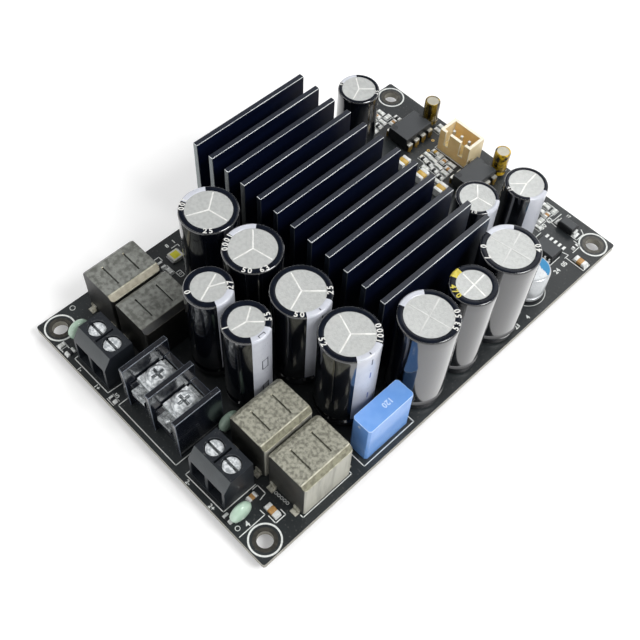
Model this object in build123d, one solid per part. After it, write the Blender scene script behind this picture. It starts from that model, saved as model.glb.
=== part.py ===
from build123d import *
import math
import os
from dataclasses import dataclass

# Audio amplifier board, seen with its loudspeaker terminals at the front.
# X runs along the terminal edge, Y from the terminals to the input connector, Z up.
# The origin is under the middle of the board, at the tips of the trimmed leads.
# All sizes are in millimetres.

# Circuit board
board_width = 75.0
board_depth = 115.0
board_thickness = 1.6
board_corner_radius = 0.6
lead_tail = 2.0
mounting_hole_diameter = 3.5
mounting_hole_inset = 3.75
hole_clearance = 0.12
lead_sides = 6
stand_clearance = 0.15

# Heatsink
fin_count = 12
fin_pitch = 5.09
fin_tip_thickness = 1.3
fin_root_thickness = 1.7
heatsink_top = 28.5
heatsink_base_thickness = 4.0
heatsink_post_radius = 3.0
heatsink_post_inset = 6.5
heatsink_hole_depth = 3.0
screw_tip_gap = 0.5

# Amplifier chip under the heatsink
chip_length = 15.9
chip_width = 11.0
chip_height = 3.3
chip_leads_per_side = 18
chip_lead_pitch = 0.65
chip_lead_width = 0.3
thermal_pad_thickness = 0.3
thermal_pad_inset = 0.9

# Heatsink screws, put in from below
screw_radius = 1.5
screw_head_radius = 2.75
screw_head_height = 1.9
screw_recess_width = 0.7
screw_recess_length = 3.0
screw_recess_depth = 0.8
thread_clearance = 0.05

# Electrolytic cans
large_can_diameter = 13.0
slim_can_diameter = 10.3
short_can_diameter = 10.0
tall_can_height = 27.2
short_can_height = 20.5
sleeve_wall = 0.15
large_sleeve_lip = 1.25
slim_sleeve_lip = 1.35
short_sleeve_lip = 0.85
can_stand = 0.4
sleeve_rise = 0.2
bung_inset = 0.7
bung_height = 1.6
bung_sides = 24
score_width = 0.35
score_depth = 0.2
score_margin = 0.1
can_lead_radius = 0.3
can_lead_pitch = 5.0

# Polymer capacitor near the back right corner
polymer_diameter = 8.0
polymer_height = 8.8
polymer_base_height = 0.8
polymer_base_inset = 0.15
polymer_groove_low = 0.9
polymer_groove_height = 0.8
polymer_groove_depth = 0.35
polymer_edge_bevel = 0.4
polymer_lead_pitch = 3.5

# Small gold cans
bypass_diameter = 4.0
bypass_height = 7.0
bypass_stand = 1.0
bypass_lip = 0.35
bypass_sleeve_rise = 0.1
bypass_lead_pitch = 1.5
bypass_lead_radius = 0.225

# Choke blocks
choke_width = 10.6
choke_depth = 13.3
choke_height = 12.8
choke_bevel = 1.2
choke_edge_radius = 0.7
choke_gap = 0.75
choke_slot_length = 5.6
choke_slot_width = 0.35
choke_slot_depth = 0.6
choke_slot_spacing = 5.6
choke_foot_spacing = 6.9
choke_foot_width = 1.7
choke_foot_reach = 1.3
choke_foot_tuck = 2.0
choke_foot_rise = 1.6
choke_foot_thickness = 0.3

# Two-pole loudspeaker terminals
terminal_pitch = 5.08
terminal_width = 10.8
terminal_depth = 7.9
terminal_height = 10.0
terminal_shoulder = 7.0
terminal_slope = 2.1
terminal_front_step = 0.2
terminal_room_width = 4.2
terminal_wall = 0.7
terminal_floor = 0.6
terminal_lintel = 0.4
terminal_front_wall = 1.9
terminal_screw_back = 3.1
well_radius = 2.05
well_slit_width = 0.5
well_slit_length = 4.6
well_slit_depth = 1.2
ledge_thickness = 0.5
terminal_screw_radius = 1.25
terminal_head_radius = 1.9
terminal_head_height = 1.25
terminal_head_recess = 0.8
driver_slot_width = 0.6
driver_slot_depth = 0.6
cage_width = 3.9
cage_depth = 3.4
cage_wall = 0.5
cage_top_thickness = 1.3
cage_clearance = 0.1
wire_gap = 2.2
contact_thickness = 0.5
contact_width = 2.6
contact_tail_width = 1.0
contact_reach = 1.0

# Barrier strip for the supply
barrier_pitch = 8.25
barrier_wall = 1.3
barrier_depth = 11.8
barrier_height = 14.0
barrier_base_height = 7.4
barrier_setback = 1.2
barrier_ledge_height = 9.0
barrier_ledge_depth = 1.6
barrier_screw_back = 5.9
barrier_screw_radius = 1.5
barrier_screw_length = 6.2
barrier_head_radius = 2.7
barrier_head_height = 2.1
barrier_head_rim = 0.9
barrier_head_slope = 0.9
barrier_bore_spare = 0.6
washer_size = 6.4
washer_thickness = 0.9
tab_width = 6.4
tab_thickness = 0.8
tab_lip_width = 4.0
tab_lip_drop = 1.3
tab_tail_width = 1.5
barrier_hole_clearance = 0.15

# Input connector
header_width = 9.8
header_depth = 5.75
header_height = 7.0
header_wall = 0.85
header_floor = 1.2
header_slot_width = 1.2
header_slot_depth = 4.4
header_slot_spacing = 4.8
header_pin_count = 3
header_pin_pitch = 2.5
header_pin_size = 0.64
header_pin_rise = 6.0

# Film and disc capacitors
film_width = 5.0
film_depth = 13.0
film_height = 12.5
film_edge_radius = 0.5
film_lead_pitch = 10.0
disc_diameter = 5.2
disc_thickness = 2.5
disc_facets = 3
disc_stand = 0.5
disc_lead_pitch = 2.5
disc_lead_radius = 0.25

# Eight-pin preamplifier chips
dip_body_width = 6.35
dip_body_length = 9.3
dip_body_height = 3.4
dip_stand = 0.6
dip_pitch = 2.54
dip_row_spacing = 7.62
dip_pins_per_side = 4
dip_shoulder_width = 1.4
dip_tail_width = 0.5
dip_strip_thickness = 0.25
dip_notch_radius = 0.8
dip_notch_depth = 0.4
dip_bend_rise = 0.3

# Surface-mounted parts
chip_stand = 0.1
chip_bevel = 0.3
small_body_length = 6.2
small_body_width = 4.2
small_body_height = 1.5
small_pitch = 1.27
small_pins_per_side = 5
small_lead_width = 0.42
gull_reach = 1.05
gull_thickness = 0.2
gull_bend_share = 0.4
diode_length = 4.3
diode_width = 2.6
diode_height = 2.2
diode_tab_reach = 0.5
diode_tab_width = 1.6
diode_tab_height = 1.2
led_length = 3.5
led_width = 2.8
led_height = 1.1
led_window_radius = 1.15
led_window_depth = 0.3
chip_0805 = (2.0, 1.25, 0.6)
chip_1206 = (3.2, 1.6, 0.9)
chip_0603 = (1.6, 0.8, 0.5)

# Gaps that set the layout
terminal_front_inset = 2.2
left_terminal_inset = 18.0
right_terminal_inset = 19.3
barrier_front_inset = 3.1
choke_back_gap = 2.5
left_choke_inset = 3.1
right_choke_inset = 2.05
row_gap = 4.4
slim_gap = 1.05
heatsink_front_gap = 2.4
row_middle_x = 1.6
row_middle_gap = 1.2
row_side_gap = 0.65
slim_middle_x = 1.15
slim_pair_gap = 0.8
film_side_inset = 2.0
heatsink_side_inset = 14.6
side_can_gap = 0.5
upright_gap_low = 1.1
upright_gap_middle = 0.45
upright_gap_high = 0.85
side_slim_shift = 1.1
side_high_shift = 0.4
polymer_gap = 2.7
heatsink_back = 20.1
short_gap = 3.4
short_x = 13.8
second_short_x = 18.6
second_short_gap = 1.3
left_short_inset = 9.8
left_short_y = 33.2
preamp_back_inset = 10.6
left_preamp_x = -20.9
right_preamp_x = 0.9
header_x = -8.25
header_back_inset = 2.55
bypass_back_inset = 3.2
left_bypass_x = -20.5
right_bypass_x = 3.0
small_chip_side_inset = 10.5
small_chip_back_inset = 13.4
diode_side_inset = 11.2
diode_back_inset = 4.5
led_side_inset = 6.0
led_y = -22.5
disc_gap = 2.6
disc_setback = 1.2
barrier_disc_gap = 0.45
corner_disc_gap = 2.25
corner_disc_inset = 3.4

# Chip parts, as distances in from the nearest side edge and end edge
disc_chip_insets = (12.1, 7.8)
choke_chip_insets = (7.1, 8.8)
polymer_chip_insets = (2.6, 10.5)
diode_resistor_insets = (6.3, 7.7)
left_corner_resistor_insets = (10.6, 1.6)
right_corner_resistor_insets = (12.0, 1.4)
led_resistor_inset = 5.8
led_resistor_step = 4.0

# Levels and edges that follow from the sizes
board_under = lead_tail
board_top = board_under + board_thickness
left_edge = -board_width / 2
right_edge = board_width / 2
front_edge = -board_depth / 2
back_edge = board_depth / 2

# Front group
terminal_front = front_edge + terminal_front_inset
terminal_back = terminal_front + terminal_depth
left_terminal_x = left_edge + left_terminal_inset
right_terminal_x = right_edge - right_terminal_inset
terminal_centres = {"left": left_terminal_x, "right": right_terminal_x}
terminal_screw_y = terminal_back - terminal_screw_back
barrier_front = front_edge + barrier_front_inset
barrier_back = barrier_front + barrier_depth
barrier_width = 2 * barrier_pitch + barrier_wall
barrier_screw_y = barrier_front + barrier_screw_back
barrier_centres = {"left": -barrier_pitch / 2, "right": barrier_pitch / 2}

# Chokes stand behind the terminals
choke_front = terminal_back + choke_back_gap
choke_back = choke_front + choke_depth
choke_y = (choke_front + choke_back) / 2
choke_step = choke_width + choke_gap
choke_1_x = left_edge + left_choke_inset + choke_width / 2
choke_4_x = right_edge - right_choke_inset - choke_width / 2
choke_centres = [choke_1_x, choke_1_x + choke_step, choke_4_x - choke_step, choke_4_x]

# Can rows
large_radius = large_can_diameter / 2
slim_radius = slim_can_diameter / 2
short_radius = short_can_diameter / 2
row_y = choke_back + row_gap + large_radius
row_inner_step = large_radius + row_middle_gap / 2
row_outer_step = row_inner_step + large_can_diameter + row_side_gap
slim_y = row_y - large_radius - slim_radius - slim_gap
slim_step = slim_radius + slim_pair_gap / 2

# Heatsink block
heatsink_width = (fin_count - 1) * fin_pitch + fin_root_thickness
heatsink_front = row_y + large_radius + heatsink_front_gap
heatsink_depth = heatsink_back - heatsink_front
heatsink_y = (heatsink_front + heatsink_back) / 2
heatsink_right = right_edge - heatsink_side_inset
heatsink_x = heatsink_right - heatsink_width / 2
heatsink_under = board_top + chip_height + thermal_pad_thickness
post_places = [
    (heatsink_x + side * (heatsink_width / 2 - heatsink_post_inset), y)
    for side in (-1, 1)
    for y in (heatsink_front + heatsink_post_inset, heatsink_back - heatsink_post_inset)
]

# Right-hand column, from the film capacitor back
film_x = right_edge - film_side_inset - film_width / 2
film_front = row_y - film_depth / 2
film_back = film_front + film_depth
column_x = heatsink_right + side_can_gap + large_radius
column_low_y = film_back + upright_gap_low + large_radius
column_slim_y = column_low_y + large_radius + slim_radius + upright_gap_middle
column_high_y = column_slim_y + slim_radius + large_radius + upright_gap_high
polymer_x = column_x + side_slim_shift
polymer_y = column_high_y + large_radius + polymer_gap + polymer_diameter / 2

# Back group
short_y = heatsink_back + short_gap + short_radius
second_short_y = short_y + short_can_diameter + second_short_gap
left_short_x = left_edge + left_short_inset
preamp_y = back_edge - preamp_back_inset
preamp_places = [(left_preamp_x, preamp_y), (right_preamp_x, preamp_y)]
header_back = back_edge - header_back_inset
header_front = header_back - header_depth
header_y = (header_front + header_back) / 2
bypass_y = back_edge - bypass_back_inset
bypass_places = [(left_bypass_x, bypass_y), (right_bypass_x, bypass_y)]
small_chip_x = right_edge - small_chip_side_inset
small_chip_y = back_edge - small_chip_back_inset

# Disc capacitors stand beside the terminals and the barrier strip
left_disc_x = left_terminal_x - terminal_width / 2 - disc_gap - disc_thickness / 2
barrier_disc_x = barrier_width / 2 + barrier_disc_gap + disc_thickness / 2
corner_disc_x = right_terminal_x + terminal_width / 2 + corner_disc_gap + disc_thickness / 2
disc_places = [
    (left_disc_x, terminal_screw_y - disc_setback),
    (barrier_disc_x, barrier_back),
    (corner_disc_x, front_edge + corner_disc_inset),
]

STAND = (Align.CENTER, Align.CENTER, Align.MIN)


@dataclass(frozen=True)
class CanPlace:
    """Where a can stands, its size, its sleeve's lip and the directions of its scores, in degrees."""

    name: str
    x: float
    y: float
    diameter: float
    height: float
    lip: float
    scores: tuple


def can_places():
    """The twelve sleeved cans."""
    large = (large_can_diameter, tall_can_height, large_sleeve_lip)
    slim = (slim_can_diameter, tall_can_height, slim_sleeve_lip)
    short = (short_can_diameter, short_can_height, short_sleeve_lip)
    return [
        CanPlace("large_can_1", row_middle_x - row_outer_step, row_y, *large, (128, 11, 247)),
        CanPlace("large_can_2", row_middle_x - row_inner_step, row_y, *large, (138, 12, 263)),
        CanPlace("large_can_3", row_middle_x + row_inner_step, row_y, *large, (162, 47, 291)),
        CanPlace("large_can_4", row_middle_x + row_outer_step, row_y, *large, (161, 47, 289)),
        CanPlace("large_can_5", column_x, column_low_y, *large, (107, 11, 287, 191)),
        CanPlace("large_can_6", column_x + side_high_shift, column_high_y, *large, (106, 9, 286, 189)),
        CanPlace("slim_can_1", slim_middle_x - slim_step, slim_y, *slim, (114, 294, 66)),
        CanPlace("slim_can_2", slim_middle_x + slim_step, slim_y, *slim, (125, 47, 262)),
        CanPlace("slim_can_3", column_x + side_slim_shift, column_slim_y, *slim, (94, 353, 274, 173)),
        CanPlace("short_can_1", short_x, short_y, *short, (131, 8, 262)),
        CanPlace("short_can_2", second_short_x, second_short_y, *short, (228, 95, 287)),
        CanPlace("short_can_3", left_short_x, left_short_y, *short, (145, 48, 293)),
    ]


def block(left, right, front, back, low, high):
    """Rectangular block between six faces."""
    size = Box(right - left, back - front, high - low, align=STAND)
    return Pos((left + right) / 2, (front + back) / 2, low) * size


def upright(x, y, low, high, radius):
    """Round rod or disc standing on end."""
    return Pos(x, y, low) * Cylinder(radius, high - low, align=STAND)


def prism(x, y, low, high, radius, sides):
    """Upright rod with flat sides, as far from its axis as a round one of that radius."""
    outline = RegularPolygon(radius, sides, major_radius=False)
    return Pos(x, y, low) * extrude(outline, high - low)


def turned(x, y, points):
    """Solid of revolution about an upright axis, from (radius, height) points."""
    profile = make_face(Plane.XZ * Polyline(*points, close=True))
    return Pos(x, y, 0) * revolve(profile, Axis.Z)


def group(shapes):
    """Separate solids that share one node."""
    return Compound(children=[solid for shape in shapes for solid in shape.solids()])


def along_x(points, centre_x, width):
    """Profile in (y, z) points, extruded along X about its middle."""
    face = make_face(Plane.YZ * Polyline(*points, close=True))
    return Pos(centre_x - width / 2, 0, 0) * extrude(face, width, dir=(1, 0, 0))


def row(count, pitch):
    """Offsets of evenly spaced things about their middle."""
    return [(index - (count - 1) / 2) * pitch for index in range(count)]


def driver_cross(x, y, low, high):
    """Cross recess of a screwdriver."""
    half = screw_recess_length / 2
    thin = screw_recess_width / 2
    arm = block(x - half, x + half, y - thin, y + thin, low, high)
    return arm + block(x - thin, x + thin, y - half, y + half, low, high)


# Wire leads, as (x, y, radius, top) for each one

def can_leads():
    """Leads of the cans, side by side along X."""
    leads = []
    for can in can_places():
        for offset in row(2, can_lead_pitch):
            leads.append((can.x + offset, can.y, can_lead_radius, board_top))
    for offset in row(2, polymer_lead_pitch):
        leads.append((polymer_x + offset, polymer_y, can_lead_radius, board_top))
    return leads


def bypass_leads():
    """Leads of the two small gold cans."""
    return [
        (x + offset, y, bypass_lead_radius, board_top + bypass_stand)
        for x, y in bypass_places
        for offset in row(2, bypass_lead_pitch)
    ]


def dipped_leads():
    """Leads of the film capacitor and of the discs."""
    film_y = (film_front + film_back) / 2
    leads = [(film_x, film_y + offset, can_lead_radius, board_top) for offset in row(2, film_lead_pitch)]
    for x, y in disc_places:
        for offset in row(2, disc_lead_pitch):
            rise = math.sqrt((disc_diameter / 2) ** 2 - (abs(offset) - disc_lead_radius) ** 2)
            top = board_top + disc_stand + disc_diameter / 2 - rise
            leads.append((x, y + offset, disc_lead_radius, top))
    return leads


def dip_pin_places():
    """Centres of the pins of the eight-pin chips, with the side they are on."""
    return [
        (x + side * dip_row_spacing / 2, y + offset, side)
        for x, y in preamp_places
        for side in (-1, 1)
        for offset in row(dip_pins_per_side, dip_pitch)
    ]


def header_pin_places():
    """Centres of the input connector's pins."""
    return [(header_x + offset, header_y) for offset in row(header_pin_count, header_pin_pitch)]


def contact_tail_y():
    """Middle of the terminal contacts' legs, just inside the back wall."""
    return terminal_back - terminal_wall - stand_clearance / 2 - contact_thickness / 2


def tab_tail_y():
    """Middle of the barrier tabs' legs, just in front of the rear ledge."""
    return barrier_back - barrier_ledge_depth - stand_clearance - tab_thickness / 2


def pole_places():
    """Name and centre x of the four terminal poles."""
    return [
        (f"{name}_{pole}", x + offset)
        for name, x in terminal_centres.items()
        for pole, offset in zip(("outer", "inner") if x < 0 else ("inner", "outer"), row(2, terminal_pitch))
    ]


def round_holes():
    """The mounting holes and the holes of the heatsink's screws, as (x, y, radius)."""
    corner_x = right_edge - mounting_hole_inset
    corner_y = back_edge - mounting_hole_inset
    holes = [(sx * corner_x, sy * corner_y, mounting_hole_diameter / 2) for sx in (-1, 1) for sy in (-1, 1)]
    return holes + [(x, y, screw_radius + stand_clearance) for x, y in post_places]


def lead_holes():
    """The small holes for leads and pins, as (x, y, radius)."""
    holes = [(x, y, r + hole_clearance) for x, y, r, _ in can_leads() + bypass_leads() + dipped_leads()]
    dip_radius = math.hypot(dip_tail_width, dip_strip_thickness) / 2 + hole_clearance
    holes += [(x, y, dip_radius) for x, y, _ in dip_pin_places()]
    pin_radius = header_pin_size / math.sqrt(2) + hole_clearance
    holes += [(x, y, pin_radius) for x, y in header_pin_places()]
    contact_radius = math.hypot(contact_tail_width, contact_thickness) / 2 + hole_clearance
    holes += [(x, contact_tail_y(), contact_radius) for _, x in pole_places()]
    tab_radius = math.hypot(tab_tail_width, tab_thickness) / 2 + hole_clearance
    holes += [(x, tab_tail_y(), tab_radius) for x in barrier_centres.values()]
    return holes


def make_board():
    """Glass-fibre board with all its holes."""
    outline = RectangleRounded(board_width, board_depth, board_corner_radius)
    for x, y, radius in round_holes():
        outline -= Pos(x, y) * Circle(radius)
    for x, y, radius in lead_holes():
        outline -= Pos(x, y) * RegularPolygon(radius, lead_sides, major_radius=False)
    return Pos(0, 0, board_under) * extrude(outline, board_thickness)


def heatsink_profile():
    """Outline of the extrusion across the fins, in (x, z) points."""
    left = heatsink_x - heatsink_width / 2
    base_top = heatsink_under + heatsink_base_thickness
    top = board_top + heatsink_top
    points = [(left + heatsink_width, heatsink_under), (left, heatsink_under)]
    for index in range(fin_count):
        middle = left + fin_root_thickness / 2 + index * fin_pitch
        points.append((middle - fin_root_thickness / 2, base_top))
        points.append((middle - fin_tip_thickness / 2, top))
        points.append((middle + fin_tip_thickness / 2, top))
        points.append((middle + fin_root_thickness / 2, base_top))
    return points


def make_heatsink():
    """Finned extrusion with four tapped posts that stand on the board."""
    face = make_face(Plane.XZ * Polyline(*heatsink_profile(), close=True))
    body = Pos(0, heatsink_front, 0) * extrude(face, heatsink_depth, dir=(0, 1, 0))
    for x, y in post_places:
        body += upright(x, y, board_top, heatsink_under + heatsink_base_thickness / 2, heatsink_post_radius)
    for x, y in post_places:
        hole_top = heatsink_under + heatsink_hole_depth
        body -= upright(x, y, board_top, hole_top, screw_radius + thread_clearance)
    return body


def make_heatsink_screws():
    """Pan-head screws through the board into the posts."""
    screws = []
    for x, y in post_places:
        head_low = board_under - screw_head_height
        tip = heatsink_under + heatsink_hole_depth - screw_tip_gap
        screw = upright(x, y, head_low, board_under, screw_head_radius)
        screw += upright(x, y, board_under, tip, screw_radius)
        screw -= driver_cross(x, y, head_low, head_low + screw_recess_depth)
        screws.append(screw)
    return group(screws)


def gull_lead(x, y, side, width, body_height):
    """Gull-wing lead of a surface-mounted chip, bending away along Y."""
    shoulder = board_top + body_height / 2
    foot = board_top
    t = gull_thickness
    bend = gull_reach * gull_bend_share
    points = [
        (0, shoulder), (bend, shoulder), (bend, foot + t), (gull_reach, foot + t),
        (gull_reach, foot), (bend - t, foot), (bend - t, shoulder - t), (0, shoulder - t),
    ]
    return along_x([(y + side * dy, z) for dy, z in points], x, width)


def gull_leads(x, y, body_width, body_height, count, pitch, width):
    """Both rows of leads of one surface-mounted chip."""
    return [
        gull_lead(x + offset, y + side * body_width / 2, side, width, body_height)
        for side in (-1, 1)
        for offset in row(count, pitch)
    ]


def chip_body(x, y, length, width, height):
    """Moulded chip body, just clear of the board, with a sloping upper edge."""
    low = board_top + chip_stand
    body = block(x - length / 2, x + length / 2, y - width / 2, y + width / 2, low, board_top + height)
    return chamfer(body.faces().sort_by(Axis.Z)[-1].edges(), chip_bevel)


def make_amplifier_chip():
    """Power chip pressed under the heatsink, without its leads."""
    return chip_body(heatsink_x, heatsink_y, chip_length, chip_width, chip_height)


def make_amplifier_chip_leads():
    """Two rows of fine leads of the power chip."""
    return group(gull_leads(
        heatsink_x, heatsink_y, chip_width, chip_height,
        chip_leads_per_side, chip_lead_pitch, chip_lead_width,
    ))


def make_thermal_pad():
    """Soft pad between the power chip and the heatsink."""
    half_x = chip_length / 2 - thermal_pad_inset
    half_y = chip_width / 2 - thermal_pad_inset
    return block(
        heatsink_x - half_x, heatsink_x + half_x, heatsink_y - half_y, heatsink_y + half_y,
        board_top + chip_height, heatsink_under,
    )


def can_radius(can):
    """Radius of the bare aluminium can inside its sleeve."""
    return can.diameter / 2 - sleeve_wall


def make_can(can):
    """Drawn aluminium can, closed over its bung, with a scored top."""
    radius = can_radius(can)
    low = board_top + can_stand
    top = board_top + can.height - sleeve_wall
    body = upright(can.x, can.y, low, top, radius)
    body -= prism(can.x, can.y, low, board_top + bung_height, radius - bung_inset, bung_sides)
    reach = radius - can.lip - score_margin
    for angle in can.scores:
        arm = Pos(reach / 2, 0, 0) * Box(reach, score_width, 2 * score_depth)
        body -= Pos(can.x, can.y, top) * Rot(0, 0, angle) * arm
    return body


def make_sleeves(large):
    """Shrunk sleeves of the large cans, or of the slim and short ones."""
    sleeves = []
    for can in can_places():
        if (can.diameter == large_can_diameter) != large:
            continue
        outer = can.diameter / 2
        inner = can_radius(can)
        low = board_top + can_stand + sleeve_rise
        top = board_top + can.height
        sleeves.append(turned(can.x, can.y, [
            (inner, low), (outer, low), (outer, top), (inner - can.lip, top - sleeve_wall),
            (inner, top - sleeve_wall),
        ]))
    return group(sleeves)


def make_can_bungs():
    """Rubber bungs that close the cans and stand on the board."""
    return group([
        prism(can.x, can.y, board_top, board_top + bung_height, can_radius(can) - bung_inset, bung_sides)
        for can in can_places()
    ])


def make_component_leads():
    """Plain wire leads of the cans, the film capacitor and the discs, trimmed under the board."""
    return group([
        prism(x, y, 0, top, radius, lead_sides)
        for x, y, radius, top in can_leads() + bypass_leads() + dipped_leads()
    ])


def make_polymer_can():
    """Bare silver can with a rolled groove."""
    radius = polymer_diameter / 2
    low = board_top + polymer_base_height
    top = board_top + polymer_height
    groove = low + polymer_groove_low
    return turned(polymer_x, polymer_y, [
        (0, low), (radius, low), (radius, groove),
        (radius - polymer_groove_depth, groove + polymer_groove_height / 2),
        (radius, groove + polymer_groove_height), (radius, top - polymer_edge_bevel),
        (radius - polymer_edge_bevel, top), (0, top),
    ])


def make_polymer_base():
    """Black bung under the polymer can."""
    radius = polymer_diameter / 2 - polymer_base_inset
    return upright(polymer_x, polymer_y, board_top, board_top + polymer_base_height, radius)


def make_bypass_cans():
    """Two small cans standing on their leads."""
    radius = bypass_diameter / 2 - sleeve_wall
    low = board_top + bypass_stand
    top = low + bypass_height - sleeve_wall
    return group([upright(x, y, low, top, radius) for x, y in bypass_places])


def make_bypass_sleeves():
    """Gold sleeves of the two small cans."""
    inner = bypass_diameter / 2 - sleeve_wall
    low = board_top + bypass_stand + bypass_sleeve_rise
    top = board_top + bypass_stand + bypass_height
    return group([
        turned(x, y, [
            (inner, low), (inner + sleeve_wall, low), (inner + sleeve_wall, top),
            (inner - bypass_lip, top - sleeve_wall), (inner, top - sleeve_wall),
        ])
        for x, y in bypass_places
    ])


def make_choke(x):
    """Ferrite block of one output choke, with two thin slots in its top."""
    low = board_top + choke_foot_thickness
    top = board_top + choke_height
    half = choke_width / 2
    outline = [
        (x - half, low), (x + half, low), (x + half, top - choke_bevel), (x + half - choke_bevel, top),
        (x - half + choke_bevel, top), (x - half, top - choke_bevel),
    ]
    face = make_face(Plane.XZ * Polyline(*outline, close=True))
    body = Pos(0, choke_front, 0) * extrude(face, choke_depth, dir=(0, 1, 0))
    body = fillet(body.edges().filter_by(Axis.Z), choke_edge_radius)
    for offset in row(2, choke_slot_spacing):
        y = choke_y + offset
        half_x = choke_slot_length / 2
        half_y = choke_slot_width / 2
        body -= block(x - half_x, x + half_x, y - half_y, y + half_y, top - choke_slot_depth, top)
    return body


def make_choke_feet():
    """Bent strips that hold the chokes, soldered to the board at their front and back."""
    feet = []
    t = choke_foot_thickness
    for x in choke_centres:
        for side, face in ((-1, choke_front), (1, choke_back)):
            points = [
                (-choke_foot_tuck, board_top), (choke_foot_reach, board_top),
                (choke_foot_reach, board_top + t), (t, board_top + t), (t, board_top + choke_foot_rise),
                (0, board_top + choke_foot_rise), (0, board_top + t), (-choke_foot_tuck, board_top + t),
            ]
            outline = [(face + side * dy, z) for dy, z in points]
            for offset in row(2, choke_foot_spacing):
                feet.append(along_x(outline, x + offset, choke_foot_width))
    return group(feet)


# Heights inside a terminal, above the board

def cage_low():
    """Underside of a lowered cage."""
    return board_top + terminal_floor + cage_clearance


def contact_low():
    """Underside of the contact bar that the wire is pressed against."""
    return cage_low() + cage_wall + wire_gap


def cage_top():
    """Top of a lowered cage."""
    return contact_low() + contact_thickness + cage_clearance + cage_top_thickness


def cage_travel():
    """How far a cage rises before its floor meets the contact bar."""
    return wire_gap - 2 * cage_clearance


def head_low():
    """Underside of a terminal screw's head, on its ledge."""
    return board_top + terminal_height - terminal_head_recess - terminal_head_height


def make_terminal_housing(centre):
    """Moulded housing of one terminal block: sloping front, wells, wire rooms and ledges."""
    z = board_top
    profile = [
        (terminal_front, z), (terminal_front + terminal_front_step, z + terminal_shoulder),
        (terminal_front + terminal_slope, z + terminal_height), (terminal_back, z + terminal_height),
        (terminal_back, z),
    ]
    body = along_x(profile, centre, terminal_width)
    room_top = head_low() - ledge_thickness
    for offset in row(2, terminal_pitch):
        x = centre + offset
        half = terminal_room_width / 2
        inner_back = terminal_back - terminal_wall
        mouth = z + terminal_shoulder - terminal_lintel
        room_front = terminal_front + terminal_front_wall
        body -= block(x - half, x + half, room_front, inner_back, z + terminal_floor, room_top)
        body -= block(x - half, x + half, terminal_front - 1, inner_back, z + terminal_floor, mouth)
        body -= upright(x, terminal_screw_y, head_low(), z + terminal_height, well_radius)
        bore = terminal_screw_radius + stand_clearance
        body -= upright(x, terminal_screw_y, room_top, head_low(), bore)
        tail = contact_tail_width / 2 + cage_clearance
        body -= block(
            x - tail, x + tail, contact_tail_y() - contact_thickness / 2 - cage_clearance,
            contact_tail_y() + contact_thickness / 2 + stand_clearance / 2, z, z + terminal_floor,
        )
    slit_half = well_slit_width / 2
    return body - block(
        centre - slit_half, centre + slit_half, terminal_screw_y - well_slit_length / 2,
        terminal_screw_y + well_slit_length / 2, z + terminal_height - well_slit_depth, z + terminal_height,
    )


def make_cage(x):
    """Rising clamp cage: a square loop with a tapped top."""
    low = cage_low()
    top = cage_top()
    half = cage_width / 2
    front = terminal_screw_y - cage_depth / 2
    back = terminal_screw_y + cage_depth / 2
    body = block(x - half, x + half, front, back, low, top)
    window = half - cage_wall
    window_top = contact_low() + contact_thickness + cage_clearance
    body -= block(x - window, x + window, front, back, low + cage_wall, window_top)
    return body - upright(x, terminal_screw_y, window_top, top, terminal_screw_radius + thread_clearance)


def make_terminal_screw(x):
    """Slotted screw that turns on its ledge and lifts the cage."""
    tip = contact_low() + contact_thickness + 2 * cage_clearance
    top = head_low() + terminal_head_height
    screw = upright(x, terminal_screw_y, tip, head_low(), terminal_screw_radius)
    screw += upright(x, terminal_screw_y, head_low(), top, terminal_head_radius)
    half = driver_slot_width / 2
    reach = terminal_head_radius
    low = top - driver_slot_depth
    return screw - block(x - reach, x + reach, terminal_screw_y - half, terminal_screw_y + half, low, top)


def make_terminal_contacts():
    """Bent contacts of the terminals: a leg through the board and a bar through the cage."""
    contacts = []
    for _, x in pole_places():
        y = contact_tail_y()
        half = contact_thickness / 2
        bar_low = contact_low()
        bar_high = bar_low + contact_thickness
        tail = contact_tail_width / 2
        bar = contact_width / 2
        front = terminal_screw_y - cage_depth / 2 - contact_reach
        leg = block(x - tail, x + tail, y - half, y + half, 0, bar_high)
        contacts.append(leg + block(x - bar, x + bar, front, y + half, bar_low, bar_high))
    return group(contacts)


def make_barrier_housing():
    """Black barrier strip: a base, three walls and a low ledge behind the tabs."""
    z = board_top
    half = barrier_width / 2
    base_front = barrier_front + barrier_setback
    body = along_x([
        (base_front, z), (base_front, z + barrier_base_height), (barrier_back, z + barrier_base_height),
        (barrier_back, z),
    ], 0, barrier_width)
    ledge_front = barrier_back - barrier_ledge_depth
    body += block(-half, half, ledge_front, barrier_back, z, z + barrier_ledge_height)
    for offset in row(3, barrier_pitch):
        wall = barrier_wall / 2
        body += block(offset - wall, offset + wall, barrier_front, barrier_back, z, z + barrier_height)
    for x in barrier_centres.values():
        seat = z + barrier_base_height + tab_thickness + washer_thickness
        bore_low = seat - barrier_screw_length - barrier_bore_spare
        bore = barrier_screw_radius + barrier_hole_clearance
        body -= upright(x, barrier_screw_y, bore_low, z + barrier_base_height, bore)
        tail_x = tab_tail_width / 2 + cage_clearance
        tail_y = tab_thickness / 2 + cage_clearance
        body -= block(
            x - tail_x, x + tail_x, tab_tail_y() - tail_y, tab_tail_y() + tail_y, z, z + barrier_base_height,
        )
    return body


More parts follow.
